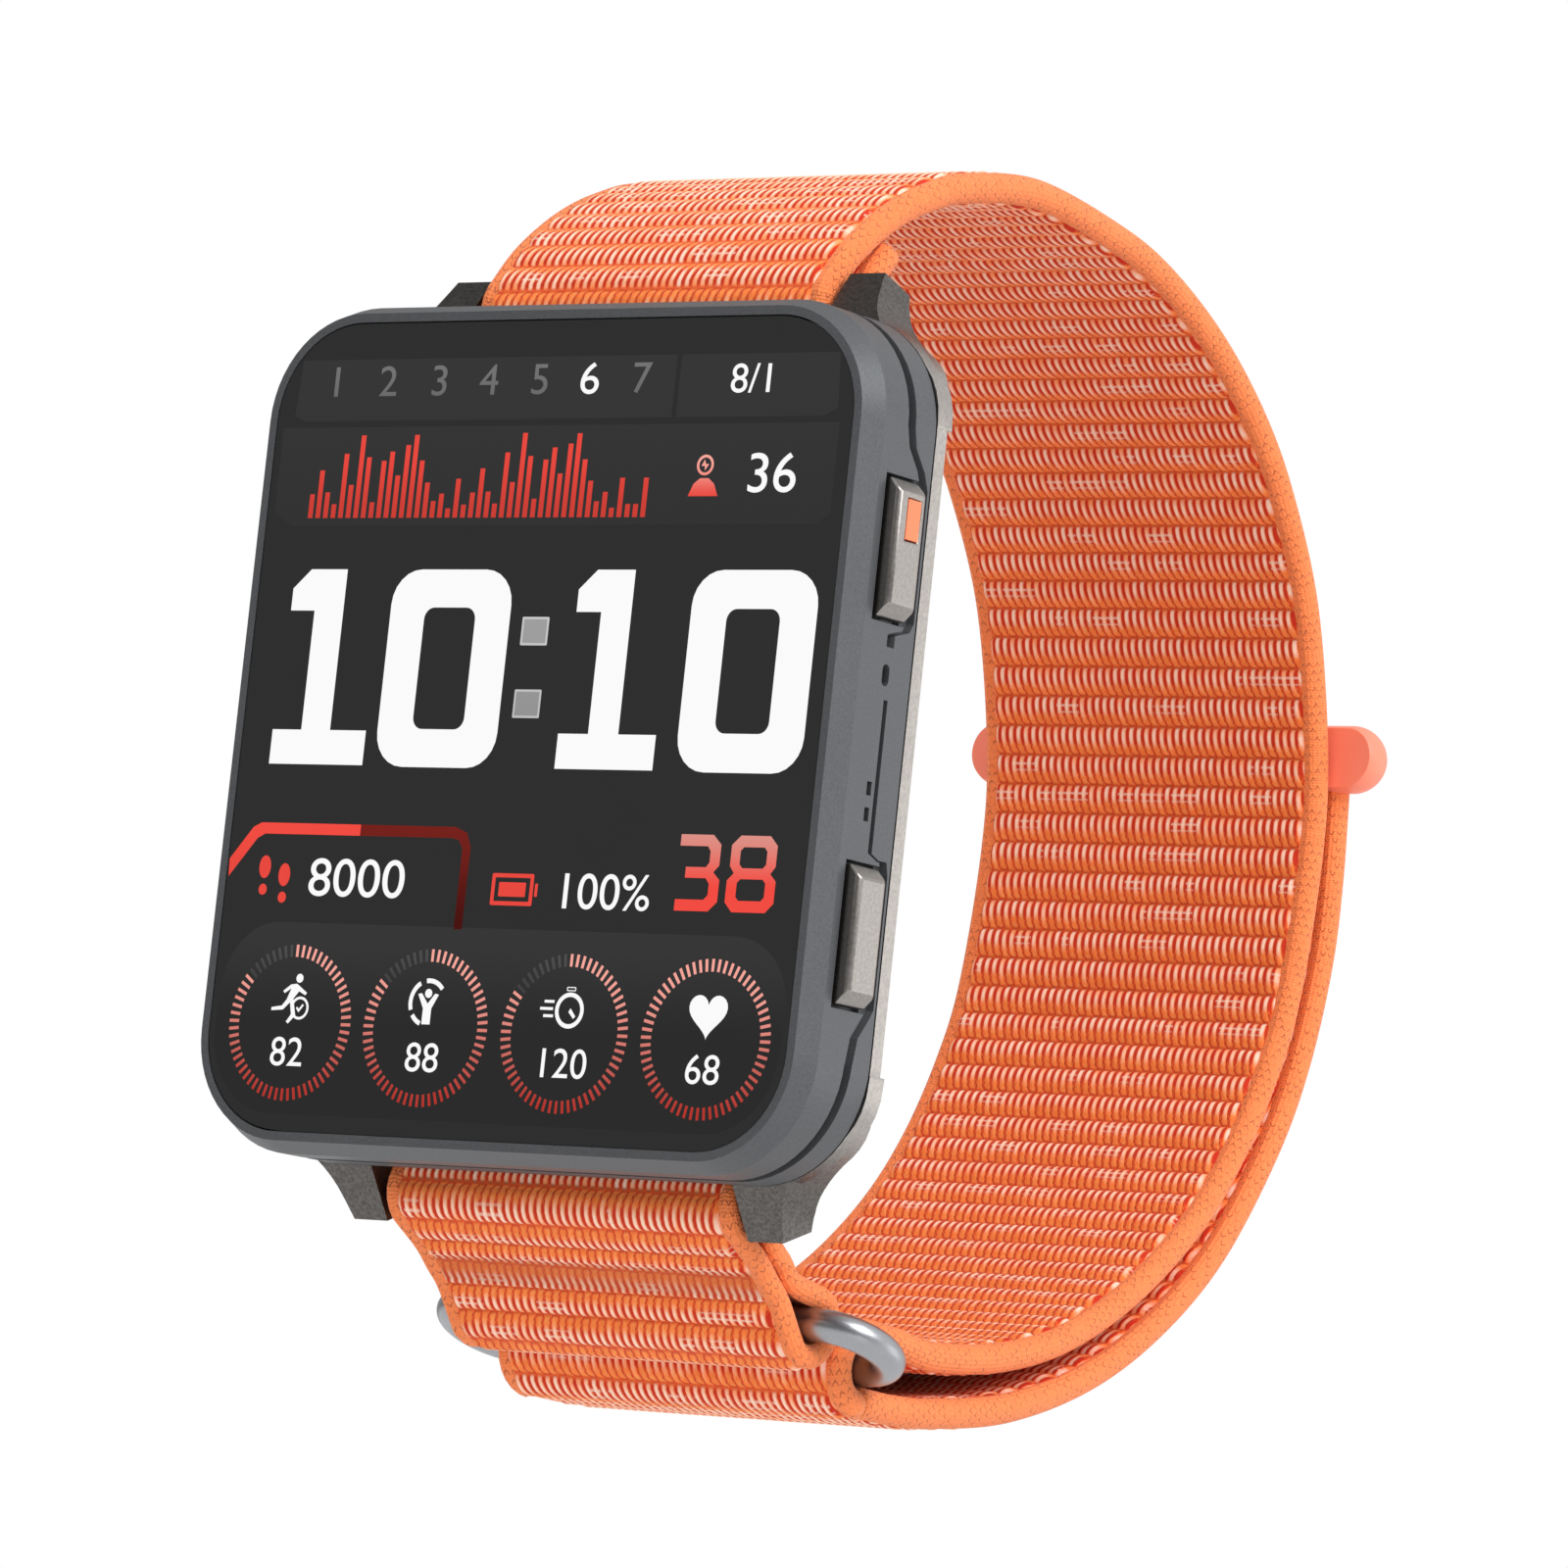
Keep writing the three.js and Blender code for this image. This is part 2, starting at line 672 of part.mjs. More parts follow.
function sideSwitch(sign) {
  const z = sign * buttonOffset;
  const body = boxOf(
    [switchFace - switchLength, switchFace - 0.25],
    [buttonY - 0.8, buttonY + 0.8],
    [z - 1.6, z + 1.6],
  );
  return join(body, rodX(0.55, [switchFace - 0.4, switchFace], buttonY, z, 12));
}

// ---------------------------------------------------------------- spring bars
const barSpan = strapWidth / 2 - 0.1;

function barTube(sign) {
  const z = sign * barZ;
  const tube = rodX(barRadius, [-barSpan, barSpan], barY, z, 20);
  const bore = rodX(barBore, [-barSpan + 1.5, barSpan + 1], barY, z, 12);
  const tip = rodX(pinRadius, [-bayWidth / 2 - pinTip, -barSpan + 0.3], barY, z, 12);
  const slot = boxOf(
    [leverX - leverTravel - 0.6, leverX + 0.6],
    [barY, barY + 2],
    [z - leverRadius - 0.1, z + leverRadius + 0.1],
  );
  return cut(join(tube, tip), bore, slot);
}

// The sprung pin with its release lever, which pulls it out of the lug.
function releasePin(sign) {
  const z = sign * barZ;
  const pin = rodX(pinRadius, [leverX - 2.6, bayWidth / 2 + pinTip], barY, z, 12);
  const lever = rodY(leverRadius, [barY, barY + leverReach], leverX, z, 12);
  const knob = rodY(leverRadius + 0.3, [barY + leverReach - 0.5, barY + leverReach], leverX, z, 12);
  return join(pin, lever, knob);
}

function barSpring(sign) {
  const turns = 9;
  const from = -barSpan + 1.9;
  const to = leverX - 2.6 - 0.2;
  const points = Array.from({ length: turns * 8 + 1 }, (_, i) => {
    const angle = (i * Math.PI) / 4;
    const x = from + ((to - from) * i) / (turns * 8);
    return new THREE.Vector3(x, barY + 0.3 * Math.cos(angle), sign * barZ + 0.3 * Math.sin(angle));
  });
  const section = new THREE.Shape();
  section.absarc(0, 0, 0.09, 0, 2 * Math.PI);
  const path = new THREE.CatmullRomCurve3(points);
  const settings = { steps: turns * 8, extrudePath: path, curveSegments: 4 };
  return solid(new THREE.ExtrudeGeometry(section, settings));
}

// ---------------------------------------------------------------- strap
// Middle line of the long strap: sewn end, round the top bar, round the wrist, round the ring.
function longStrapLine() {
  const sewnEnd = [
    [4.35 + 0.634 * thicker, 27.2 - 0.773 * thicker],
    [3.2 + 0.6 * thicker, 25.9 - 0.3 * thicker],
    [2.92 + foldRadius - 1.765, 24.9],
  ].map(withBars);
  const topFold = arcPoints([barY, barZ], foldRadius, -8, -208, 12);
  const drawn = [topFold[topFold.length - 1], ...strapLine.map(withBars)];
  const loop = smoothLine(drawn, 54).slice(1);
  const ringTurn = arcPoints(ringLower, ringFold, 90, 270, 12);
  const tailStub = [[tailStart[0] - seamGap, ringLower[1] - ringFold]];
  return [...sewnEnd, ...topFold, ...loop, ...ringTurn, ...tailStub];
}

function leverSlot(sign) {
  const x = [leverX - leverTravel - 1.1, leverX + 1.1];
  const z = [sign * barZ - 1.4, sign * barZ + 1.4];
  return boxOf(x, [barY + 0.4, barY + leverReach + 1.6], z);
}

function longStrap() {
  return cut(band(longStrapLine(), strapThickness), leverSlot(1));
}

function strapTail() {
  return band(smoothLine(tailLine, 30), strapThickness);
}

// The two sewn layers of the short strap, with a tunnel for the bar and one for the ring.
function shortStrap() {
  const [y0, z0] = [barY, -barZ];
  const [y1, z1] = ringUpper;
  const length = Math.hypot(y1 - y0, z1 - z0);
  const along = [(y1 - y0) / length, (z1 - z0) / length];
  const front = [along[1], -along[0]];
  const at = (s, d) => [y0 + along[0] * s + front[0] * d, z0 + along[1] * s + front[1] * d];
  const lean = shortMiddle / 2 + 0.45;
  const rear = lean - shortMiddle;
  const web = polygon([at(0, lean), at(length, lean), at(length, rear), at(0, rear)]);
  const half = strapWidth / 2;
  const layers = join(
    slabX(web, -half, half),
    rodX(shortFoldBar, [-half, half], y0, z0, 32),
    rodX(shortFoldRing, [-half, half], y1, z1, 32),
  );
  const barTunnel = rodX(barRadius + foldClearance, [-half - 1, half + 1], y0, z0, 20);
  const ringTunnel = rodX(ringWire + foldClearance, [-half - 1, half + 1], y1, z1, 20);
  return cut(layers, barTunnel, ringTunnel, leverSlot(-1));
}

// A closed wire loop: two bars along X joined by half-round ends.
function strapRing() {
  const middle = [(ringUpper[0] + ringLower[0]) / 2, (ringUpper[1] + ringLower[1]) / 2];
  const across = new THREE.Vector2(ringLower[0] - ringUpper[0], ringLower[1] - ringUpper[1]);
  const bend = across.length() / 2;
  across.normalize();
  const straight = ringHalfWidth - ringWire - bend;
  const place = (x, d) => new THREE.Vector3(x, middle[0] + across.x * d, middle[1] + across.y * d);
  const half = (sign) =>
    Array.from({ length: 13 }, (_, i) => {
      const angle = Math.PI * (i / 12 - 0.5);
      return place(sign * (straight + bend * Math.cos(angle)), sign * bend * Math.sin(angle));
    });
  const section = 12;
  const loop = [...half(1), ...half(-1)];
  const rings = loop.map((centre, i) => {
    const before = loop[(i + loop.length - 1) % loop.length];
    const after = loop[(i + 1) % loop.length];
    const tangent = after.clone().sub(before).normalize();
    const normal = new THREE.Vector3(0, -across.y, across.x);
    const side = new THREE.Vector3().crossVectors(tangent, normal);
    return Array.from({ length: section }, (_, k) => {
      const a = (2 * Math.PI * k) / section;
      return centre
        .clone()
        .addScaledVector(side, ringWire * Math.cos(a))
        .addScaledVector(normal, ringWire * Math.sin(a));
    });
  });
  return solid(closedTube(rings));
}

// Skins a closed loop of rings that all have the same number of points.
function closedTube(rings) {
  const sides = rings[0].length;
  const positions = rings.flat().flatMap((p) => [p.x, p.y, p.z]);
  const faces = rings.flatMap((_, i) =>
    rings[i].flatMap((_, k) => {
      const next = (i + 1) % rings.length;
      const turn = (k + 1) % sides;
      const [a, b, c, d] = [i * sides + k, i * sides + turn, next * sides + turn, next * sides + k];
      return [a, c, b, a, d, c];
    }),
  );
  const geometry = new THREE.BufferGeometry();
  geometry.setAttribute("position", new THREE.Float32BufferAttribute(positions, 3));
  geometry.setIndex(faces);
  return geometry;
}

// The tab: a round-ended bar, flat where it faces the strap, with a mouth for the tail's tip.
function endTab() {
  const geometry = new THREE.CapsuleGeometry(tabRadius, tabLength - 2 * tabRadius, 6, 24);
  geometry.rotateZ(Math.PI / 2);
  geometry.translate(0, ...tabAt);
  const inner = 50.0 + strapThickness / 2 + layerGap;
  const keep = boxOf([-tabLength, tabLength], [inner, inner + 10], [0, 20]);
  const room = strapThickness / 2 + pressGap;
  const mouth = boxOf(
    [-strapWidth / 2 - pressGap, strapWidth / 2 + pressGap],
    [tailTip[0] - room - 0.05, tailTip[0] + room + 0.2],
    [0, tabAt[1] - 0.6],
  );
  return cut(solid(geometry).intersect(keep), mouth);
}

// ---------------------------------------------------------------- the assembly
const watch = new THREE.Group();

function add(group, name, body, material) {
  const mesh = new THREE.Mesh(geometryOf(body), material);
  mesh.name = name;
  group.add(mesh);
}

function subassembly() {
  const group = new THREE.Group();
  watch.add(group);
  return group;
}

function addCase() {
  const group = subassembly();
  add(group, "case_housing", caseHousing(), materials.housing());
  add(group, "back_plate", backPlate(), materials.titanium());
  const gasket = frameRing(0.75, 1.15, housingRear - 0.4, housingRear + pressGap);
  add(group, "back_plate_gasket", gasket, materials.rubber());
  add(group, "sensor_window", sensorWindow(), materials.glass());
  const port = [portWidth / 2, portHeight / 2];
  const portLevels = [plateFront, plateRear - 0.15];
  const block = boxOf([-port[0], port[0]], portLevels, [portZ - port[1], portZ + port[1]]);
  const contacts = Array.from(
    { length: contactCount },
    (_, i) => (i - (contactCount - 1) / 2) * contactPitch,
  );
  const holes = contacts.map((x) => rodY(contactRadius + pressGap, [-4, 2], x, portZ, 12));
  add(group, "charge_port", cut(block, ...holes), materials.polymer());
  contacts.forEach((x, i) => {
    const pin = rodY(contactRadius, [housingRear - 0.75, plateRear - 0.1], x, portZ, 12);
    add(group, `charge_pin_${i + 1}`, pin, materials.gold());
  });
  screwPlaces.forEach(([x, z], i) => {
    const headLevels = [plateRear - screwHeadHeight + pressGap, plateRear - pressGap];
    const head = rodY(screwHead, headLevels, x, z, 20);
    const shank = rodY(screwShank, [plateRear - screwLength, plateRear - 0.3], x, z, 12);
    const socket = rodY(0.45, [plateRear - 0.3, plateRear + 1], x, z, 6);
    add(group, `case_screw_${i + 1}`, cut(join(head, shank), socket), materials.steel());
  });
}

function addDisplay() {
  const group = subassembly();
  const lens = slabY(caseOutline(lensInset), frontY, lensRear);
  add(group, "display_lens", lens, materials.glass());
  const adhesiveRear = adhesiveFront + adhesiveThickness;
  const ring = frameRing(lensInset + slip, windowInset - slip, adhesiveFront, adhesiveRear);
  add(group, "lens_adhesive", ring, materials.adhesive());
  const panelShape = caseOutline(windowInset + panelMargin);
  const panel = slabY(panelShape, panelFront, panelFront + panelThickness);
  add(group, "display_panel", panel, materials.display());
}

function addElectronics() {
  const group = subassembly();
  add(group, "mid_frame", midFrame(), materials.alloy());
  add(group, "main_board", mainBoard(), materials.board());
  add(group, "board_shield", boardShield(), materials.alloy());
  add(group, "battery", battery(), materials.battery());
  add(group, "sensor_board", sensorBoard(), materials.board());
  const rear = housingRear - 0.3;
  const motor = rodY(2.6, [shelfRear + 1.8, rear], boardLeft + 2.7, 13, 24);
  add(group, "vibration_motor", motor, materials.steel());
  const speakerY = [shelfRear + 1.8, housingRear - sensorBoardDepth - 0.1];
  const speaker = boxOf([boardLeft + 0.3, boardLeft + 4.9], speakerY, [4, 9]);
  add(group, "speaker", speaker, materials.polymer());
  const nearWall = [cavityHalfWidth - 1.9, cavityHalfWidth - 0.3];
  const microphone = boxOf(nearWall, [-5, -3.6], [2.6, 4.5]);
  add(group, "microphone", microphone, materials.polymer());
  const pressure = boxOf(nearWall, [-5.3, -4], [-4.3, -1.9]);
  add(group, "pressure_sensor", pressure, materials.alloy());
  const antennaHalf = bossEdge - 3.2;
  const antennaZ = [cavityHalfHeight - 1, cavityHalfHeight - 0.4];
  const antennaY = [shelfRear + 0.8, housingRear - 0.4];
  const antenna = boxOf([-antennaHalf, antennaHalf], antennaY, antennaZ);
  add(group, "gps_antenna", antenna, materials.gold());
}

function addButton(name, sign, inlaid) {
  const group = subassembly();
  const cap = inlaid ? cut(buttonCap(sign), insertBox(pressGap)) : buttonCap(sign);
  add(group, `${name}_cap`, cap, materials.titanium());
  if (inlaid) add(group, `${name}_inlay`, insertBox(0), materials.orangeInlay());
  add(group, `${name}_stem`, buttonStem(sign), materials.steel());
  add(group, `${name}_seal`, stemSeal(sign), materials.rubber());
  add(group, `${name}_clip`, stemClip(sign), materials.steel());
  add(group, `${name}_switch`, sideSwitch(sign), materials.polymer());
}

function addSpringBar(name, sign) {
  const group = subassembly();
  add(group, `${name}_bar_tube`, barTube(sign), materials.steel());
  add(group, `${name}_release_pin`, releasePin(sign), materials.steel());
  add(group, `${name}_bar_spring`, barSpring(sign), materials.steel());
}

function addStrap() {
  const group = subassembly();
  add(group, "long_strap", longStrap(), materials.fabric());
  add(group, "strap_tail", strapTail(), materials.fabric());
  add(group, "short_strap", shortStrap(), materials.fabric());
  add(group, "strap_ring", strapRing(), materials.steel());
  add(group, "end_tab", endTab(), materials.coral());
}

addCase();
addDisplay();
addElectronics();
addButton("upper_button", 1, true);
addButton("lower_button", -1, false);
addSpringBar("upper", 1);
addSpringBar("lower", -1);
addStrap();

export default watch;
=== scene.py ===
import math

import bmesh
import bpy
import numpy as np
from mathutils import Matrix, Vector


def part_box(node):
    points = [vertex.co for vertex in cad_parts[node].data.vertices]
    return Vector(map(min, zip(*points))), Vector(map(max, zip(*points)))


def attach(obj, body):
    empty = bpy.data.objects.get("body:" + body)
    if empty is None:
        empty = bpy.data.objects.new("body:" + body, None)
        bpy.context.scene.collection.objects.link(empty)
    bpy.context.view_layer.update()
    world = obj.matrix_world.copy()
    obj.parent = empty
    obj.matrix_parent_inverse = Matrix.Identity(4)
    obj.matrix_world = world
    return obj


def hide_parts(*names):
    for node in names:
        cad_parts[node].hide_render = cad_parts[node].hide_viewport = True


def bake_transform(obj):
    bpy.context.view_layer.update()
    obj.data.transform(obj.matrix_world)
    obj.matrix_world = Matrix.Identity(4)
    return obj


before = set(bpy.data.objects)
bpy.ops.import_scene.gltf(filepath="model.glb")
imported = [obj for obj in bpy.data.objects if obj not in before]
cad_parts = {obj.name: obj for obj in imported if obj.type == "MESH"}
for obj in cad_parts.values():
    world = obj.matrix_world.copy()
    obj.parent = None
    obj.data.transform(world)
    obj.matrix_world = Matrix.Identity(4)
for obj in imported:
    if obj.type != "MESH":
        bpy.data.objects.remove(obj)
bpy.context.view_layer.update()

bl_info = {
    "name": "GPS running watch",
    "version": (1, 0, 0),
    "blender": (4, 5, 0),
    "location": "View3D > Sidebar > Watch",
    "description": "Builds the looks of a GPS running watch on a woven strap round its frame",
    "category": "Add Mesh",
}

MM = 0.001
FRONT = -7.9  # y of the lens's outer face, in mm
ENDS = ("upper", "lower")
LUG_ROOT = (0.0195, 0.0225)  # heights in metres over which the back plate turns into its lugs and takes on its painted shade
LEAN = 0.55  # how far a yarn leans over one row, in yarns
STAGGER = 0.37  # how far each row's yarns stand beside the last row's, in yarns
GRID_STATIONS = 1600  # points along a strap's middle line from which the meshes are read
EDGE_WIDTH = 0.86  # width of the knitted edge beside the yarns, in mm
EDGE_FADE = 0.35  # distance over which the yarns rise beside the edge, in mm
END_FADE = 0.3  # distance over which they rise at a strap's end or a seam, in mm
FLOOR_RADIUS = 1.6  # metres
FLOOR_HEIGHT = -0.3  # metres


# ---------------------------------------------------------------- sizes and colours
def size(label, default, note):
    """A length in millimetres that the panel offers."""
    return bpy.props.FloatProperty(name=label, description=note, default=default, min=0.0, soft_max=60.0)


def colour(label, default, note):
    """A colour that the panel offers, given in the 0 to 255 steps of a colour chart."""
    linear = tuple(to_linear(c / 255) for c in default)
    return bpy.props.FloatVectorProperty(
        name=label, description=note, subtype="COLOR", size=3, min=0.0, max=1.0, default=linear
    )


def to_linear(c):
    return c / 12.92 if c <= 0.04045 else ((c + 0.055) / 1.055) ** 2.4


class StrapSettings(bpy.types.PropertyGroup):
    """Sizes and colours of the woven strap."""

    width: size("Width", 23.6, "Strap width across the edges, in mm")
    thickness: size("Thickness", 1.75, "Strap thickness over the weave, in mm")
    layer: size("Layer", 1.4, "Thickness of one layer of the short strap, in mm")
    row_pitch: size("Row pitch", 1.76, "Distance between the cross rows of the weave, in mm")
    yarn_pitch: size("Yarn pitch", 0.54, "Distance between neighbouring yarns in a row, in mm")
    row_relief: size("Row relief", 0.24, "How far the rows stand over the grooves between them, in mm")
    yarn_relief: size("Yarn relief", 0.1, "How far each yarn stands over its neighbours, in mm")
    # Its pale colour is painted highlight on each yarn's crest, and the real colour of the short groups of
    # cross threads.
    crest_highlight_and_threads: colour("Light yarn", (255, 214, 192), "The pale yarn on top of each row")
    orange: colour("Orange yarn", (255, 128, 58), "The orange yarn that most of the strap is made of")
    amber: colour("Amber yarn", (255, 176, 104), "Lighter fibres in the orange yarn")
    # Its dark red is painted shade in the gaps between the raised yarns.
    gap_shade_red: colour("Deep yarn", (200, 36, 20), "The dark red yarn between the raised ones")
    edge: colour("Edge", (255, 132, 70), "The knitted edge")
    fleck: colour("Edge fleck", (176, 78, 40), "Dark flecks in the knitted edge")


class CaseSettings(bpy.types.PropertyGroup):
    """Sizes and colours of the case, buttons and ring."""

    edge_round: size("Edge rounding", 0.07, "Rounding of the case's edges, in mm")
    button_round: size("Button rounding", 0.12, "Rounding of the buttons' edges, in mm")
    ring_wire: size("Ring wire", 0.9, "Radius of the ring's wire, in mm")
    tab_radius: size("Tab radius", 1.95, "Radius of the moulded tab on the strap's end, in mm")
    housing: colour("Housing", (92, 94, 97), "Grey matt housing")
    titanium: colour("Titanium", (226, 219, 213), "Blasted titanium of the back plate and buttons")
    steel: colour("Steel", (172, 174, 178), "Polished steel of the ring and bars")
    inlay: colour("Inlay", (240, 125, 80), "Orange inlay of the upper button")
    tab: colour("Tab", (255, 138, 110), "Coral tab on the strap's end")


class ScreenSettings(bpy.types.PropertyGroup):
    """Layout of the lit display."""

    lift: size("Lift", 0.012, "Thickness of the lit picture over the lens, in mm")
    ring_radius: size("Dial radius", 4.2, "Outer radius of the four small dials, in mm")
    black: colour("Background", (42, 42, 42), "Dark background of the display")
    panel: colour("Panel", (54, 54, 54), "Slightly lighter panels")
    white: colour("White", (250, 250, 250), "Main digits")
    grey: colour("Grey", (158, 158, 158), "Colon and quiet marks")
    red: colour("Red", (232, 72, 62), "Red marks")
    rose: colour("Rose", (248, 168, 156), "Light end of the red gradients")


# ---------------------------------------------------------------- shader expressions
class Value:
    """A number that varies over a surface. Arithmetic on it adds Math nodes."""

    def __init__(self, finish, socket):
        self.finish = finish
        self.socket = socket

    def math(self, operation, *others):
        sockets = dict(enumerate((self, *others)))
        return self.finish.value("ShaderNodeMath", {"operation": operation}, sockets)

    def __add__(self, other):
        return self.math("ADD", other)

    def __sub__(self, other):
        return self.math("SUBTRACT", other)

    def __mul__(self, other):
        return self.math("MULTIPLY", other)

    def __rsub__(self, other):
        return (self * -1.0).math("ADD", other)

    def __abs__(self):
        return self.math("ABSOLUTE")

    __radd__ = __add__
    __rmul__ = __mul__

    def fraction(self):
        return self.math("FRACT")

    def floor(self):
        return self.math("FLOOR")

    def at_most(self, limit):
        return self.math("MINIMUM", limit)

    def wave(self):
        """Sine of the value taken as a share of a full turn."""
        return (self * (2 * math.pi)).math("SINE")

    def ramp(self, low, high):
        """0 below low and 1 above high, with a soft step between."""
        settings = {"interpolation_type": "SMOOTHSTEP"}
        sockets = {"Value": self, "From Min": low, "From Max": high}
        return self.finish.value("ShaderNodeMapRange", settings, sockets)

    def peak(self, middle, half):
        """1 at the middle, falling softly to 0 at the half width."""
        return 1.0 - abs(self - middle).ramp(0.0, half)


class Finish:
    """A material built round one Principled shader."""

    def __init__(self, name, **sockets):
        self.material = bpy.data.materials.new(name)
        self.material.use_nodes = True
        self.tree = self.material.node_tree
        self.shader = self.tree.nodes["Principled BSDF"]
        self.set(**sockets)

    def set(self, **sockets):
        for label, value in sockets.items():
            self.feed(self.shader.inputs[label.replace("_", " ")], value)
        return self

    def feed(self, socket, value):
        if isinstance(value, Value):
            self.tree.links.new(value.socket, socket)
        elif isinstance(value, bpy.types.NodeSocket):
            self.tree.links.new(value, socket)
        elif hasattr(value, "__len__") and socket.type == "RGBA" and len(value) == 3:
            socket.default_value = (*value, 1.0)
        else:
            socket.default_value = value

    def node(self, kind, settings, sockets, out=0):
        """Adds a node with its settings and then its sockets, and gives back one output."""
        made = self.tree.nodes.new(kind)
        for label, value in settings.items():
            setattr(made, label, value)
        for label, value in sockets.items():
            self.feed(made.inputs[label], value)
        return made.outputs[out]

    def value(self, kind, settings, sockets, out=0):
        return Value(self, self.node(kind, settings, sockets, out))

    def mix(self, share, first, second):
        """One colour shading into another by share."""
        made = self.tree.nodes.new("ShaderNodeMix")
        made.data_type = "RGBA"
        self.feed(made.inputs[0], share)
        self.feed(made.inputs[6], first)
        self.feed(made.inputs[7], second)
        return made.outputs[2]

    def place(self):
        return self.node("ShaderNodeTexCoord", {}, {}, "Object")

    def axis(self, index, vector=None):
        vector = vector or self.place()
        return self.value("ShaderNodeSeparateXYZ", {}, {0: vector}, index)

    def noise(self, scale, detail=2.0, vector=None, stretch=None):
        vector = vector or self.place()
        if stretch:
            vector = self.node("ShaderNodeMapping", {}, {"Vector": vector, "Scale": stretch})
        sockets = {"Vector": vector, "Scale": scale, "Detail": detail}
        return self.value("ShaderNodeTexNoise", {}, sockets)

    def flat(self, first, second):
        """Two values as a place on a flat pattern."""
        return self.node("ShaderNodeCombineXYZ", {}, {0: first, 1: second})

    def chance(self, first, second):
        """A random number from 0 to 1 that stays the same over each cell."""
        sockets = {"Vector": self.flat(first, second)}
        return self.value("ShaderNodeTexWhiteNoise", {"noise_dimensions": "2D"}, sockets)

    def bump(self, height, distance, strength=1.0):
        sockets = {"Height": height, "Distance": distance, "Strength": strength}
        self.feed(self.shader.inputs["Normal"], self.node("ShaderNodeBump", {}, sockets))
        return self


def shade(c, k):
    """A colour made darker or lighter by k."""
    return tuple(min(1.0, v * k) for v in c)


def blasted_metal(name, tint, roughness, metallic, grain=9000.0, depth=0.004, painted_lug_shade=None):
    """Metal with a fine even grain and faint wear in its gloss. Its last argument paints shade on the lugs,
    darkening them by that factor past their roots.
    """
    f = Finish(name, Metallic=metallic)
    fine = f.noise(grain, 3.0)
    broad = f.noise(160.0, 3.0)
    speckle = fine.ramp(0.25, 0.75)
    tone = f.mix(speckle * 0.7 + broad * 0.3, shade(tint, 0.78), shade(tint, 1.14))
    # Painted shade: past the lugs' roots the colour turns darker by the given factor.
    if painted_lug_shade:
        painted_lug_tone = f.mix(speckle, shade(tint, painted_lug_shade * 0.7), shade(tint, painted_lug_shade * 1.3))
        tone = f.mix(abs(f.axis(2)).ramp(*LUG_ROOT), tone, painted_lug_tone)
    f.set(Base_Color=tone, Roughness=roughness - 0.05 + broad * 0.07 + fine * 0.05)
    return f.bump(fine, depth * MM, 0.35).material


def moulded(name, tint, roughness=0.45, grain=6000.0, depth=0.006):
    """Moulded polymer or rubber with a faint texture."""
    f = Finish(name)
    fine = f.noise(grain, 2.0)
    broad = f.noise(220.0, 2.0)
    f.set(Base_Color=f.mix(broad, shade(tint, 0.9), shade(tint, 1.08)))
    f.set(Roughness=roughness - 0.04 + fine * 0.1)
    return f.bump(fine, depth * MM, 0.3).material


def polished_steel(name, tint):
    """Polished wire with drawn streaks and a little haze."""
    f = Finish(name, Metallic=1.0)
    streak = f.noise(900.0, 4.0, stretch=(0.15, 1.0, 1.0))
    fine = f.noise(7000.0, 2.0)
    f.set(Base_Color=f.mix(streak * 0.5 + fine * 0.5, shade(tint, 0.72), shade(tint, 1.05)))
    f.set(Roughness=0.25 + streak * 0.1 + fine * 0.08)
    return f.bump(fine, 0.006 * MM, 0.4).material


def cover_glass(name, tint, glow=None):
    """Black-backed glass with a faint smear in its gloss, lit from behind where it has a glow."""
    f = Finish(name, Specular_IOR_Level=0.12)
    smear = f.noise(90.0, 3.0)
    f.set(Base_Color=f.mix(smear, shade(tint, 0.94), shade(tint, 1.06)), Roughness=0.16 + smear * 0.06)
    if glow:
        f.set(Emission_Color=f.mix(smear, shade(glow, 0.97), shade(glow, 1.03)), Emission_Strength=1.0)
    return f.material


def lit(name, top, bottom, high, low):
    """A lit colour that shades from top to bottom between two heights in mm."""
    f = Finish(name, Base_Color=(0.0, 0.0, 0.0), Roughness=0.5, Specular_IOR_Level=0.05)
    f.set(Emission_Strength=1.0)
    share = f.axis(2).ramp(low * MM, high * MM)
    spread = f.noise(700.0, 2.0) * 0.06 - 0.03
    return f.set(Emission_Color=f.mix(share + spread, bottom, top)).material


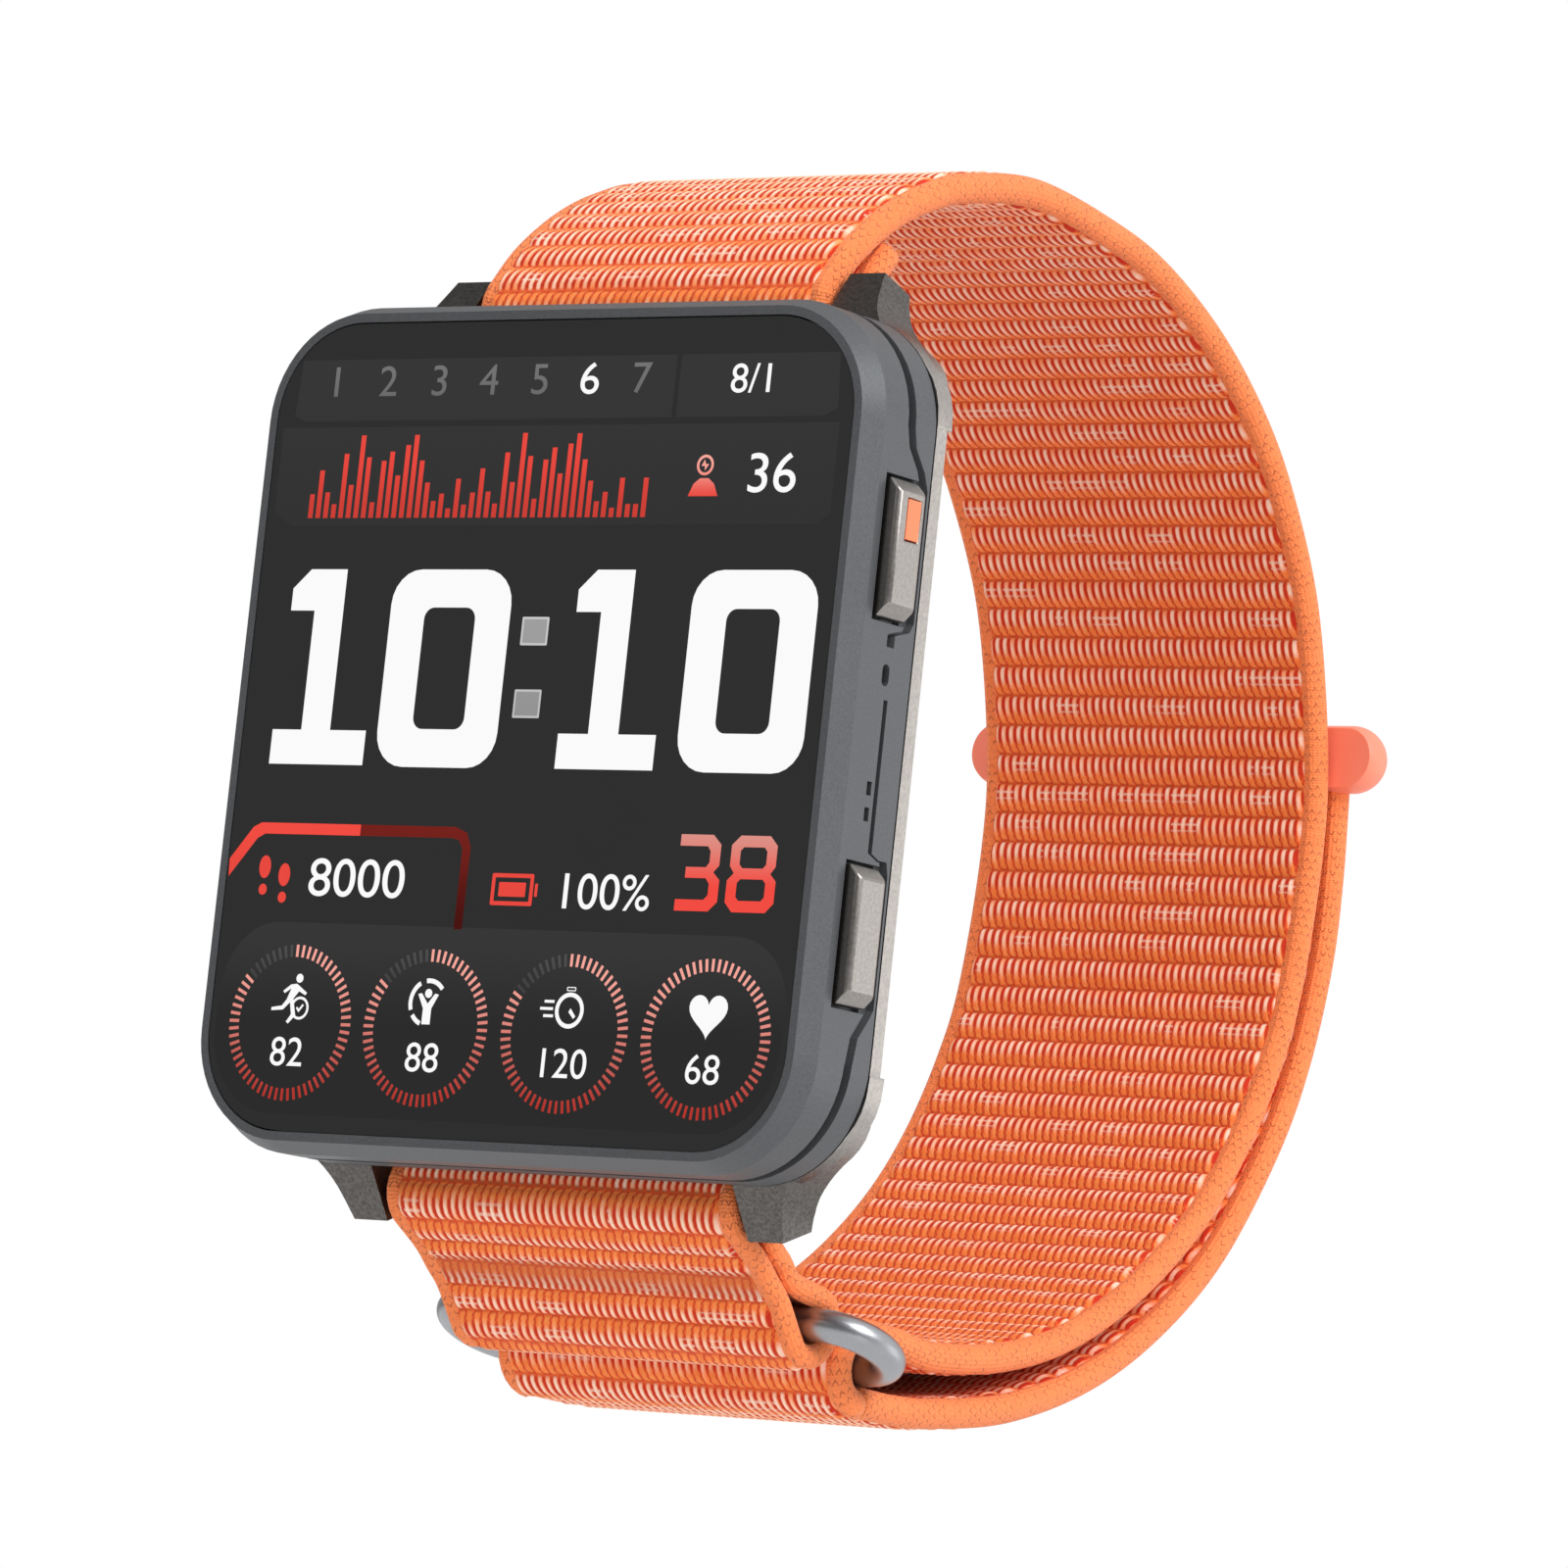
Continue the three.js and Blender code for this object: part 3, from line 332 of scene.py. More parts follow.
def woven(s):
    """Raised cross rows of leaning yarns: pale crests that are painted highlight, orange flanks, and dark
    red gaps that are painted shade.
    """
    f = Finish("woven_yarn", Roughness=0.8, Specular_IOR_Level=0.25)
    f.set(Sheen_Weight=0.08, Sheen_Roughness=0.4, Sheen_Tint=(1.0, 0.72, 0.6))
    place = f.node("ShaderNodeUVMap", {"uv_map": "weave"}, {})
    across, along = f.axis(0, place), f.axis(1, place)
    row, step = along.floor(), along.fraction()
    lean = across - step * step * LEAN - row * STAGGER
    yarn, off = lean.floor(), abs(lean.fraction() - 0.5)
    # Chance and slow change from yarn to yarn.
    tone = f.chance(yarn, row)
    broad = f.noise(0.11, 1.0, f.flat(lean, row * 7.3))
    mottle = f.noise(1.9, 2.0, f.flat(lean * 1.3, along * 2.6))
    # Where a yarn stands, and between the yarns a dark red that is painted shade, with orange where short
    # yarns and row starts show.
    low = step.ramp(0.5, 0.72)
    width = off + (mottle - 0.5) * 0.16 - low * 0.04
    yarns = (1.0 - width.ramp(0.23, 0.37)) * step.ramp(0.0, 0.08) * (1.0 - step.ramp(0.9, 1.0))
    knots = low * ((step * 5.0 + yarn * 0.5).wave() * 0.5 + 0.5)
    border = (1.0 - step.ramp(0.0, 0.1)) * 0.4
    ground = f.mix(knots * 0.6 + broad * 0.1 + border, s.gap_shade_red, s.orange)
    # Painted highlight: the pale crest of a yarn on its orange body.
    crest = (1.0 - off.ramp(0.06, 0.32)) * (step + tone * 0.2 - mottle * 0.1).peak(0.38, 0.46)
    pale = (crest * (0.75 + tone * 0.5) * (0.5 + broad * 1.1)).at_most(1.0)
    amber = f.mix(mottle.ramp(0.35, 0.75) * 0.6, s.orange, s.amber)
    body = f.mix(pale, f.mix(tone * 0.5, amber, shade(s.orange, 0.8)), s.crest_highlight_and_threads)
    # Short groups of cross threads.
    chosen = f.chance((lean * 0.29).floor(), row + 31.0).ramp(0.74, 0.76)
    group = chosen * f.chance(yarn, row + 57.0).ramp(0.1, 0.5)
    threads = group * (step.peak(0.3, 0.07) + step.peak(0.52, 0.06) * 0.6).at_most(1.0)
    laced = f.mix((threads * 0.7).at_most(1.0), f.mix(yarns, ground, body), s.crest_highlight_and_threads)
    sewn = f.value("ShaderNodeAttribute", {"attribute_name": "sewn"}, {}, 2)
    f.set(Base_Color=f.mix(sewn * 0.45, laced, s.fleck))
    fibre = f.noise(3.0, 2.0, f.flat(lean * 9.0, along * 1.5))
    return f.bump(yarns * 0.8 + threads * 0.4 + fibre * 0.25, 0.08 * MM, 0.8).material


def knitted(s):
    """Fine knitted edge with small dark flecks in staggered Vs."""
    f = Finish("knitted_edge", Roughness=0.75)
    f.set(Sheen_Weight=0.25, Sheen_Roughness=0.4, Sheen_Tint=(1.0, 0.7, 0.55))
    place = f.node("ShaderNodeUVMap", {"uv_map": "weave"}, {})
    stray = f.noise(2.2, 2.0, place) * 0.5
    along = f.axis(1, place) * 2.1 + stray
    across = f.axis(0, place) * 2.0 + along.floor() * 0.5
    over, up = across.fraction(), along.fraction()
    vee = abs(up - 0.2 - abs(over - 0.5) * 1.3)
    chance = f.chance(across.floor(), along.floor())
    stitch = (1.0 - vee.ramp(0.02, 0.16)) * (1.0 - abs(over - 0.5).ramp(0.25, 0.42))
    fleck = stitch * (0.35 + chance.ramp(0.1, 0.6))
    tone = f.noise(0.9, 3.0, place)
    base = f.mix(tone, shade(s.edge, 0.86), shade(s.edge, 1.1))
    f.set(Base_Color=f.mix((fleck * 0.6).at_most(1.0), base, s.fleck))
    knit = (across * 2.0).wave() * 0.3 + (along * 3.0).wave() * 0.3
    return f.bump(knit - fleck * 0.9, 0.06 * MM, 0.7).material


# ---------------------------------------------------------------- mesh helpers
def piece(name, mesh, material, body, replaced=(), smooth=True):
    """Puts a finished bmesh or mesh in the scene as a piece that rides on a body."""
    if isinstance(mesh, bmesh.types.BMesh):
        data = bpy.data.meshes.new(name)
        mesh.to_mesh(data)
        mesh.free()
    else:
        data = mesh
    data.name = name
    obj = bpy.data.objects.new(name, data)
    bpy.context.scene.collection.objects.link(obj)
    data.materials.clear()
    data.materials.append(material)
    data.polygons.foreach_set("use_smooth", [smooth] * len(data.polygons))
    if body:
        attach(obj, body)
    if replaced:
        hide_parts(*replaced)
    return obj


def paint(name, material):
    """Gives a carried-over part its finish."""
    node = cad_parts[name]
    node.data.materials.clear()
    node.data.materials.append(material)


def softened_copy(name, node, width, material, body, angle=28.0, segments=2):
    """A merged copy of a part with its sharp edges rounded."""
    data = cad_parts[node].data.copy()
    bm = bmesh.new()
    bm.from_mesh(data)
    bpy.data.meshes.remove(data)
    bmesh.ops.remove_doubles(bm, verts=bm.verts, dist=2e-6)
    bmesh.ops.dissolve_limit(bm, angle_limit=math.radians(0.6), verts=bm.verts, edges=bm.edges)
    bmesh.ops.dissolve_degenerate(bm, dist=2e-6, edges=bm.edges)
    made = piece(name, bm, material, body, (node,))
    soften(made, width, angle, segments)
    return made


def soften(obj, width, angle=28.0, segments=2):
    """Rounds sharp edges and keeps flat faces flat."""
    bevel = obj.modifiers.new("rounding", "BEVEL")
    bevel.width = width * MM
    bevel.segments = segments
    bevel.limit_method = "ANGLE"
    bevel.angle_limit = math.radians(angle)
    bevel.harden_normals = False
    bevel.use_clamp_overlap = True
    weights = obj.modifiers.new("flat_faces", "WEIGHTED_NORMAL")
    weights.keep_sharp = True


# ---------------------------------------------------------------- strap lines
# Middle lines as (y, z) in mm; they match the part's own.
BAR = (1.1, 24.0)
BAR_RADIUS = 0.9
RING_UPPER = (7.4, -29.35)
RING_LOWER = (12.45, -31.25)
RING_HALF_WIDTH = 15.2
RING_ROOM = 1.04  # radius of the room that a strap leaves round the ring's wire
SEWN_END = ((4.55, 27.75), (3.3, 26.15), (2.92, 24.9))
STRAP_LINE = (
    (1.55, 27.35), (4.54, 29.8), (7.7, 31.5), (11.0, 32.65), (17.5, 33.65), (25.0, 32.85),
    (30.05, 31.6), (35.6, 29.0), (40.3, 25.6), (43.9, 21.7), (47.5, 15.85), (49.9, 8.0),
    (50.4, 2.0), (49.6, -6.0), (48.1, -10.8), (45.5, -15.8), (42.0, -20.2), (36.9, -24.4),
    (31.0, -27.6), (25.0, -29.3), (19.0, -29.9), (15.5, -29.55),
)
TAIL_LINE = (
    (12.45, -33.0), (15.5, -33.12), (19.1, -32.95), (26.1, -31.95), (33.2, -29.6), (39.3, -26.1),
    (44.6, -21.4), (48.9, -15.1), (51.2, -9.8), (52.5, -4.0), (52.75, 1.0), (52.45, 6.9),
)


def arc(centre, radius, start, end, steps):
    turn = np.radians(np.linspace(start, end, steps + 1))
    return np.stack([centre[0] + radius * np.cos(turn), centre[1] + radius * np.sin(turn)], 1)


def through(points, each=24):
    """A smooth curve through the points."""
    p = np.array(points, float)
    p = np.vstack([2 * p[0] - p[1], p, 2 * p[-1] - p[-2]])
    t = np.linspace(0, 1, each, endpoint=False)[:, None]
    runs = []
    for a, b, c, d in zip(p[:-3], p[1:-2], p[2:-1], p[3:]):
        bow, twist = 2 * a - 5 * b + 4 * c - d, 3 * b - a - 3 * c + d
        runs.append(0.5 * (2 * b + (c - a) * t + bow * t**2 + twist * t**3))
    return np.vstack([*runs, p[-2:-1]])


def stations(line, count, closed=False):
    """Evenly spaced points along a line, their unit normals and their distances along it."""
    line = np.asarray(line, float)
    if closed:
        line = np.vstack([line, line[:1]])
    reach = np.concatenate([[0], np.cumsum(np.linalg.norm(np.diff(line, axis=0), axis=1))])
    at = np.linspace(0, reach[-1], count)
    points = np.stack([np.interp(at, reach, line[:, k]) for k in (0, 1)], 1)
    if closed:
        step = np.roll(points[:-1], -1, 0) - np.roll(points[:-1], 1, 0)
        step = np.vstack([step, step[:1]])
    else:
        step = np.gradient(points, axis=0)
    step /= np.linalg.norm(step, axis=1)[:, None]
    for _ in range(3):
        inner = (step[:-2] + 2 * step[1:-1] + step[2:]) / 4
        step[1:-1] = inner / np.linalg.norm(inner, axis=1)[:, None]
    return points, np.stack([step[:, 1], -step[:, 0]], 1), at


def length_of(line):
    return float(np.linalg.norm(np.diff(np.asarray(line), axis=0), axis=1).sum())


def grid(columns, rows):
    """A flat grid with corners at (0, 0) and (1, 1), as a bmesh."""
    bm = bmesh.new()
    bmesh.ops.create_grid(bm, x_segments=columns, y_segments=rows, size=0.5)
    bmesh.ops.translate(bm, verts=bm.verts, vec=(0.5, 0.5, 0.0))
    return bm


def wrap(bm, move, uv):
    """Moves every point of a grid by move(u, v) and gives its loops the coordinates uv(u, v)."""
    bm.verts.ensure_lookup_table()
    flat = np.array([v.co[:2] for v in bm.verts])
    places, coordinates = move(flat[:, 0], flat[:, 1]), uv(flat[:, 0], flat[:, 1])
    layer = bm.loops.layers.uv.new("weave")
    for face in bm.faces:
        for loop in face.loops:
            loop[layer].uv = coordinates[loop.vert.index]
    for vert, co in zip(bm.verts, places):
        vert.co = co
    return bm


def along(line, v, closed=False):
    """Points and normals of a line at shares v of its length."""
    points, normals, at = stations(line, GRID_STATIONS, closed)
    place = v * at[-1]
    p = np.stack([np.interp(place, at, points[:, k]) for k in (0, 1)], 1)
    n = np.stack([np.interp(place, at, normals[:, k]) for k in (0, 1)], 1)
    return p, n / np.linalg.norm(n, axis=1)[:, None], place


def row_height(step):
    """Profile of one row: a full round crest that tucks under at both sides."""
    return np.clip(np.sin(math.pi * np.clip(step, 0, 1)), 0, 1) ** 0.55


def seam_mask(line, share, sewn):
    """1 on the sewn stretches of a strap, each given by a point and half its length, and 0 elsewhere."""
    points, _, at = stations(line, GRID_STATIONS)
    mask = np.zeros(len(share))
    for point, half in sewn:
        middle = at[np.argmin(np.hypot(*(points - point).T))]
        mask = np.maximum(mask, np.clip((half + END_FADE - abs(share * at[-1] - middle)) / END_FADE, 0, 1))
    return mask


def weave_skin(s, line, side, thickness, start=0.0, closed=False, dense=True, sewn=()):
    """The raised yarns on one face of a strap."""
    run = length_of(line)
    rows = max(2, round(run / s.row_pitch))
    half = s.width / 2 - EDGE_WIDTH
    yarns = round(2 * half / s.yarn_pitch)
    columns, steps = (yarns * 4, rows * 7) if dense else (yarns, rows * 5)

    def uv(u, v):
        return np.stack([u * yarns, v * rows + start], 1)

    def move(u, v):
        p, n, _ = along(line, v, closed)
        step = (v * rows) % 1.0
        inside = np.clip(np.minimum(u, 1 - u) * 2 * half / EDGE_FADE, 0, 1)
        ends = 1.0 if closed else np.clip(np.minimum(v, 1 - v) * run / END_FADE, 0, 1)
        ridge = row_height(step) * inside * ends
        lean = u * yarns - LEAN * step**2 - STAGGER * np.floor(v * rows + start + 1e-6)
        yarn = 0.5 - 0.5 * np.cos(2 * math.pi * lean)
        high = s.row_relief * ridge + s.yarn_relief * yarn * ridge * (1.0 if dense else 0.5)
        high = high * (1 - 0.8 * seam_mask(line, v, sewn))
        lift = side * (thickness / 2 - s.row_relief - 0.02 + high - 0.12 * (1 - inside))
        x = (u - 0.5) * 2 * half
        return np.stack([x, p[:, 0] + n[:, 0] * lift, p[:, 1] + n[:, 1] * lift], 1) * MM

    bm = grid(columns, steps)
    mark = bm.verts.layers.float.new("sewn")
    for vert, share in zip(bm.verts, seam_mask(line, np.array([v.co.y for v in bm.verts]), sewn)):
        vert[mark] = share
    wrap(bm, move, uv)
    if side < 0:
        bmesh.ops.reverse_faces(bm, faces=bm.faces)
    if closed:
        bmesh.ops.remove_doubles(bm, verts=bm.verts, dist=1e-7)
    return bm


def band_core(s, line, thickness, closed=False, dip=0.3):
    """The body of a strap: knitted beads down both edges with the face between set back."""
    bead = thickness / 2
    reach = s.width / 2 - bead
    turn = np.radians(np.linspace(72, -72, 13))
    right = np.stack([reach + bead * np.cos(turn), bead * np.sin(turn)], 1)
    face = np.array([[reach - 0.35, -(bead - dip)], [0.0, -(bead - dip)], [-(reach - 0.35), -(bead - dip)]])
    outline = np.vstack([right, face, -right, -face, right[:1]])
    distance = np.concatenate([[0], np.cumsum(np.linalg.norm(np.diff(outline, axis=0), axis=1))])
    share = np.linspace(0, 1, len(outline))
    run = length_of(line)
    steps = max(12, round(run / 0.45))

    def section(u):
        return [np.interp(u, share, outline[:, k]) for k in (0, 1)]

    def uv(u, v):
        return np.stack([np.interp(u, share, distance), v * run], 1)

    def move(u, v):
        p, n, _ = along(line, v, closed)
        x, lift = section(u)
        return np.stack([x, p[:, 0] + n[:, 0] * lift, p[:, 1] + n[:, 1] * lift], 1) * MM

    bm = wrap(grid(len(outline) - 1, steps), move, uv)
    bmesh.ops.remove_doubles(bm, verts=bm.verts, dist=1e-7)
    if not closed:
        rims = [e for e in bm.edges if e.is_boundary]
        bmesh.ops.holes_fill(bm, edges=rims, sides=0)
    bmesh.ops.recalc_face_normals(bm, faces=bm.faces)
    return bm


def strap_set(
    s, name, line, thickness, body, replaced, skins, looks, closed=False, start=0.0, dense=(1, 1), sewn=()
):
    """A strap's core and the woven skins on its faces, all moving together."""
    core = band_core(s, line, thickness, closed)
    made = [piece(f"{name}_edge", core, looks["edge"], body, replaced)]
    # The outer face of a closed loop, or of an open strap, shows the stitching.
    stitched = -1 if closed else 1
    for label, side, full in zip(skins, (1, -1), dense):
        if label:
            marks = sewn if side == stitched else ()
            skin = weave_skin(s, line, side, thickness, start, closed, full, marks)
            made.append(piece(f"{name}_{label}", skin, looks["yarn"], body, ()))
    return made


def long_line(s):
    """Sewn end, round the top bar, round the wrist and round the ring's lower wire."""
    fold = BAR_RADIUS + s.thickness / 2
    turn = RING_ROOM + s.thickness / 2
    top = arc(BAR, fold, -8, -208, 16)
    ring = arc(RING_LOWER, turn, 90, 270, 18)
    loop = through([top[-1], *STRAP_LINE, ring[0]])
    return np.vstack([through([*SEWN_END, top[0]], 8)[:-1], top[:-1], loop[:-1], ring])


def short_line(s):
    """A closed loop round the lower bar and the ring, drawn in between them, and its sewn middle."""
    bar, ring = np.array([BAR[0], -BAR[1]]), np.array(RING_UPPER)
    way = (ring - bar) / np.linalg.norm(ring - bar)
    front = np.array([way[1], -way[0]])
    tilt = math.degrees(math.atan2(front[1], front[0]))
    near = arc(bar, BAR_RADIUS + s.layer / 2, tilt, tilt - 180, 14)
    far = arc(ring, RING_ROOM + s.layer / 2, tilt + 180, tilt, 14)
    sag = 0.45
    waist = s.layer / 2 + 0.05
    reach = [bar + (ring - bar) * share + front * sag for share in (0.3, 0.5, 0.68)]
    rear = [point - front * waist for point in reach]
    face = [point + front * waist for point in reach[::-1]]
    line = through([*near[::2], *rear, *far[::2], *face, near[0]], 10)
    return line[:-1], (bar + ring) / 2 + front * (sag + waist)


# ---------------------------------------------------------------- operators
class StrapPieces:
    """What the strap's operators share."""

    bl_options = {"REGISTER", "UNDO"}

    @property
    def looks(self):
        found = bpy.data.materials.get("woven_yarn")
        s = bpy.context.scene.watch_strap
        if not found:
            return {"yarn": woven(s), "edge": knitted(s)}
        return {"yarn": found, "edge": bpy.data.materials["knitted_edge"]}


class WATCH_OT_long_strap(StrapPieces, bpy.types.Operator):
    """Weave the long strap and the tail that closes on it"""

    bl_idname = "watch.long_strap"
    bl_label = "Long strap"

    def execute(self, context):
        s = context.scene.watch_strap
        looks = self.looks
        line = long_line(s)
        rows = round(length_of(line) / s.row_pitch)
        faces = ("outer", "inner")
        seam = ((2.6, 28.4), 0.75)
        strap_set(
            s, "long_strap", line, s.thickness, "long_strap", ("long_strap",), faces, looks, sewn=(seam,)
        )
        tail_line = through(TAIL_LINE)
        tail = strap_set(
            s, "strap_tail", tail_line, s.thickness, None, (), faces, looks, start=rows, dense=(1, 0)
        )
        for obj in tail:
            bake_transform(obj)
        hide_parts("strap_tail")
        return {"FINISHED"}


class WATCH_OT_short_strap(StrapPieces, bpy.types.Operator):
    """Weave the short strap, sewn double round the lower bar and the ring"""

    bl_idname = "watch.short_strap"
    bl_label = "Short strap"

    def execute(self, context):
        s = context.scene.watch_strap
        line, middle = short_line(s)
        name, faces, seam = "short_strap", ("", "face"), (middle, 0.8)
        strap_set(s, name, line, s.layer, name, (name,), faces, self.looks, closed=True, sewn=(seam,))
        return {"FINISHED"}


class WATCH_OT_ring(bpy.types.Operator):
    """Bend the steel ring that joins the two straps"""

    bl_idname = "watch.ring"
    bl_label = "Ring"

    def execute(self, context):
        s = context.scene.watch_case
        upper, lower = Vector((0, *RING_UPPER)), Vector((0, *RING_LOWER))
        across = lower - upper
        bend = across.length / 2
        straight = RING_HALF_WIDTH - s.ring_wire - bend
        bm = bmesh.new()
        bmesh.ops.create_circle(bm, segments=32, radius=s.ring_wire)
        bmesh.ops.rotate(bm, verts=bm.verts, matrix=Matrix.Rotation(math.pi / 2, 3, "Y"))
        bmesh.ops.translate(bm, verts=bm.verts, vec=(0, bend, 0))
        # Turned half a step, so that no section lies on the plane where the ring is pulled apart.
        steps = 64
        bmesh.ops.rotate(bm, verts=bm.verts, matrix=Matrix.Rotation(math.pi / steps, 3, "Z"))
        wire = bm.edges[:] + bm.verts[:]
        turn = {"cent": (0, 0, 0), "axis": (0, 0, 1), "angle": 2 * math.pi, "steps": steps}
        bmesh.ops.spin(bm, geom=wire, use_merge=True, **turn)
        bmesh.ops.remove_doubles(bm, verts=bm.verts, dist=1e-4)
        for vert in bm.verts:
            vert.co.x += math.copysign(straight, vert.co.x)
        bmesh.ops.recalc_face_normals(bm, faces=bm.faces)
        way = across.normalized()
        axes = Matrix((Vector((1, 0, 0)), way, Vector((1, 0, 0)).cross(way))).transposed()
        bmesh.ops.transform(bm, matrix=axes.to_4x4(), verts=bm.verts)
        bmesh.ops.translate(bm, verts=bm.verts, vec=(upper + lower) / 2)
        bmesh.ops.scale(bm, verts=bm.verts, vec=(MM, MM, MM))
        piece("ring_wire", bm, polished_steel("ring_steel", s.steel), "ring", ("strap_ring",))
        return {"FINISHED"}


class WATCH_OT_tab(bpy.types.Operator):
    """Mould the coral tab over the strap's end"""

    bl_idname = "watch.tab"
    bl_label = "End tab"

    def execute(self, context):
        s = context.scene.watch_case
        low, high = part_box("end_tab")
        middle = (Vector(low) + Vector(high)) / 2
        centre = Vector((0, high[1] - s.tab_radius * MM, middle.z))
        coral = moulded("tab_coral", s.tab, 0.42)
        bm = bmesh.new()
        bmesh.ops.create_uvsphere(bm, u_segments=48, v_segments=32, radius=s.tab_radius * MM)
        bmesh.ops.rotate(bm, verts=bm.verts, matrix=Matrix.Rotation(math.pi / 2, 3, "Y"))
        reach = (high[0] - low[0]) / 2 - s.tab_radius * MM
        for vert in bm.verts:
            if abs(vert.co.x) > 1e-6:
                vert.co.x += math.copysign(reach, vert.co.x)
        bmesh.ops.translate(bm, verts=bm.verts, vec=centre)
        whole = bm.verts[:] + bm.edges[:] + bm.faces[:]
        flat = {"plane_co": (0, low[1], 0), "plane_no": (0, -1, 0)}
        cut = bmesh.ops.bisect_plane(bm, geom=whole, clear_outer=True, **flat)
        rim = [e for e in cut["geom_cut"] if isinstance(e, bmesh.types.BMEdge)]
        bmesh.ops.holes_fill(bm, edges=rim, sides=0)
        bmesh.ops.recalc_face_normals(bm, faces=bm.faces)
        tab = piece("end_tab_bar", bm, coral, "tail", ("end_tab",))
        soften(tab, 0.12, 35.0)
        return {"FINISHED"}


class WATCH_OT_case(bpy.types.Operator):
    """Finish the housing, back plate, lugs and everything behind them"""

    bl_idname = "watch.case"
    bl_label = "Case"

    def execute(self, context):
        s = context.scene.watch_case
        self.shells(s)
        self.inside(s)
        self.optics()
        return {"FINISHED"}

    def shells(self, s):
        """The housing, the back plate with its lugs, and the buttons."""
        grey = blasted_metal("housing_grey", shade(s.housing, 0.92), 0.46, 0.4, 8000.0, 0.004)
        titanium = blasted_metal("titanium", shade(s.titanium, 0.44), 0.3, 1.0, 5200.0, 0.012)
        # The back plate's lugs get painted shade, to about 0.3 of the plate's colour.
        plate = blasted_metal("plate_titanium", shade(s.titanium, 0.55), 0.36, 1.0, 5200.0, 0.02, 0.3)
        softened_copy("housing", "case_housing", s.edge_round, grey, "case", 12.0)
        softened_copy("back_and_lugs", "back_plate", 0.16, plate, "case", 30.0, 3)
        for end in ENDS:
            cap, body = f"{end}_button_cap", f"{end}_button"
            softened_copy(f"{end}_button_top", cap, s.button_round, titanium, body, 25.0, 3)
        paint("upper_button_inlay", moulded("inlay_orange", s.inlay, 0.4))

    def inside(self, s):
        """Finishes of the parts that are carried over as they are."""
        turned = ("bar_tube", "release_pin", "bar_spring", "button_stem", "button_clip")
        four = (1, 2, 3, 4)
        steel = polished_steel("bar_steel", s.steel)
        gold = blasted_metal("contact_gold", (0.78, 0.55, 0.22), 0.25, 1.0)
        alloy = blasted_metal("stamped_alloy", (0.5, 0.51, 0.52), 0.4, 1.0)
        black = moulded("black_polymer", (0.012, 0.012, 0.013), 0.5)
        rubber = moulded("black_rubber", (0.008, 0.008, 0.008), 0.75)
        board = moulded("board_green", (0.012, 0.1, 0.045), 0.4)
        groups = {
            steel: [f"{end}_{part}" for end in ENDS for part in turned],
            gold: [*(f"charge_pin_{i}" for i in four), "gps_antenna"],
            alloy: ["board_shield", "pressure_sensor"],
            black: ["charge_port", "speaker", "microphone", "lens_adhesive"],
            rubber: ["back_plate_gasket", *(f"{end}_button_seal" for end in ENDS)],
            board: ["main_board", "sensor_board"],
            # The mid frame is near black, partly as a dark frame and partly as painted shade in the groove
            # between the housing and the back plate.
            moulded("frame_groove_shade", (0.01, 0.01, 0.011), 0.6): ["mid_frame"],
            moulded("cell_wrap", (0.04, 0.045, 0.05), 0.45): ["battery"],
            cover_glass("panel_glass", (0.02, 0.02, 0.02)): ["display_panel"],
            cover_glass("sensor_glass", (0.008, 0.008, 0.009)): ["sensor_window"],
        }
        groups[steel] += [*(f"case_screw_{i}" for i in four), "vibration_motor"]
        groups[black] += [f"{end}_button_switch" for end in ENDS]
        for material, names in groups.items():
            for name in names:
                paint(name, material)

    def optics(self):
        """Two light barriers, four lamps and the middle eye, seen through the sensor window."""
        bm = bmesh.new()
        for radius, width in ((7.0, 0.12), (3.6, 0.12)):
            outer = bmesh.ops.create_circle(bm, segments=64, radius=radius)["verts"]
            inner = bmesh.ops.create_circle(bm, segments=64, radius=radius - width)["verts"]
            edges = {e for v in outer + inner for e in v.link_edges}
            bmesh.ops.bridge_loops(bm, edges=list(edges))
        for x, y in ((1, 0), (0, 1), (-1, 0), (0, -1)):
            lamp = bmesh.ops.create_grid(bm, x_segments=1, y_segments=1, size=0.75)["verts"]
            bmesh.ops.translate(bm, verts=lamp, vec=(5.3 * x, 5.3 * y, 0))
        bmesh.ops.create_circle(bm, segments=32, radius=1.5, cap_ends=True)
        bmesh.ops.solidify(bm, geom=bm.faces[:], thickness=0.02)
        bmesh.ops.rotate(bm, verts=bm.verts, matrix=Matrix.Rotation(-math.pi / 2, 3, "X"))
        bmesh.ops.translate(bm, verts=bm.verts, vec=(0, 0.012, 0))
        bmesh.ops.recalc_face_normals(bm, faces=bm.faces)
        bmesh.ops.scale(bm, verts=bm.verts, vec=(MM, MM, MM))
        glass = cover_glass("optic_glass", (0.035, 0.045, 0.04))
        piece("sensor_optics", bm, glass, "case", (), False)


def chamfered(x0, x1, z0, z1, c):
    """A rectangle with its corners cut by c."""
    low = [(x0 + c, z0), (x1 - c, z0), (x1, z0 + c)]
    high = [(x1, z1 - c), (x1 - c, z1), (x0 + c, z1), (x0, z1 - c)]
    return [*low, *high, (x0, z0 + c)]


def rounded(x0, x1, z0, z1, r, steps=6):
    """A rectangle with round corners."""
    corners = ((x1 - r, z0 + r, -90), (x1 - r, z1 - r, 0), (x0 + r, z1 - r, 90), (x0 + r, z0 + r, 180))
    return [tuple(p) for x, z, a in corners for p in arc((x, z), r, a, a + 90, steps)]


def rectangle(x0, x1, z0, z1):
    """A plain rectangle."""
    return [(x0, z0), (x1, z0), (x1, z1), (x0, z1)]


def bend(centre, radius, start, end, steps=10):
    """The points of an arc as pairs."""
    return [tuple(point) for point in arc(centre, radius, start, end, steps)]


def moved(points, x, z):
    """An outline moved to a new place."""
    return [(x + a, z + b) for a, b in points]


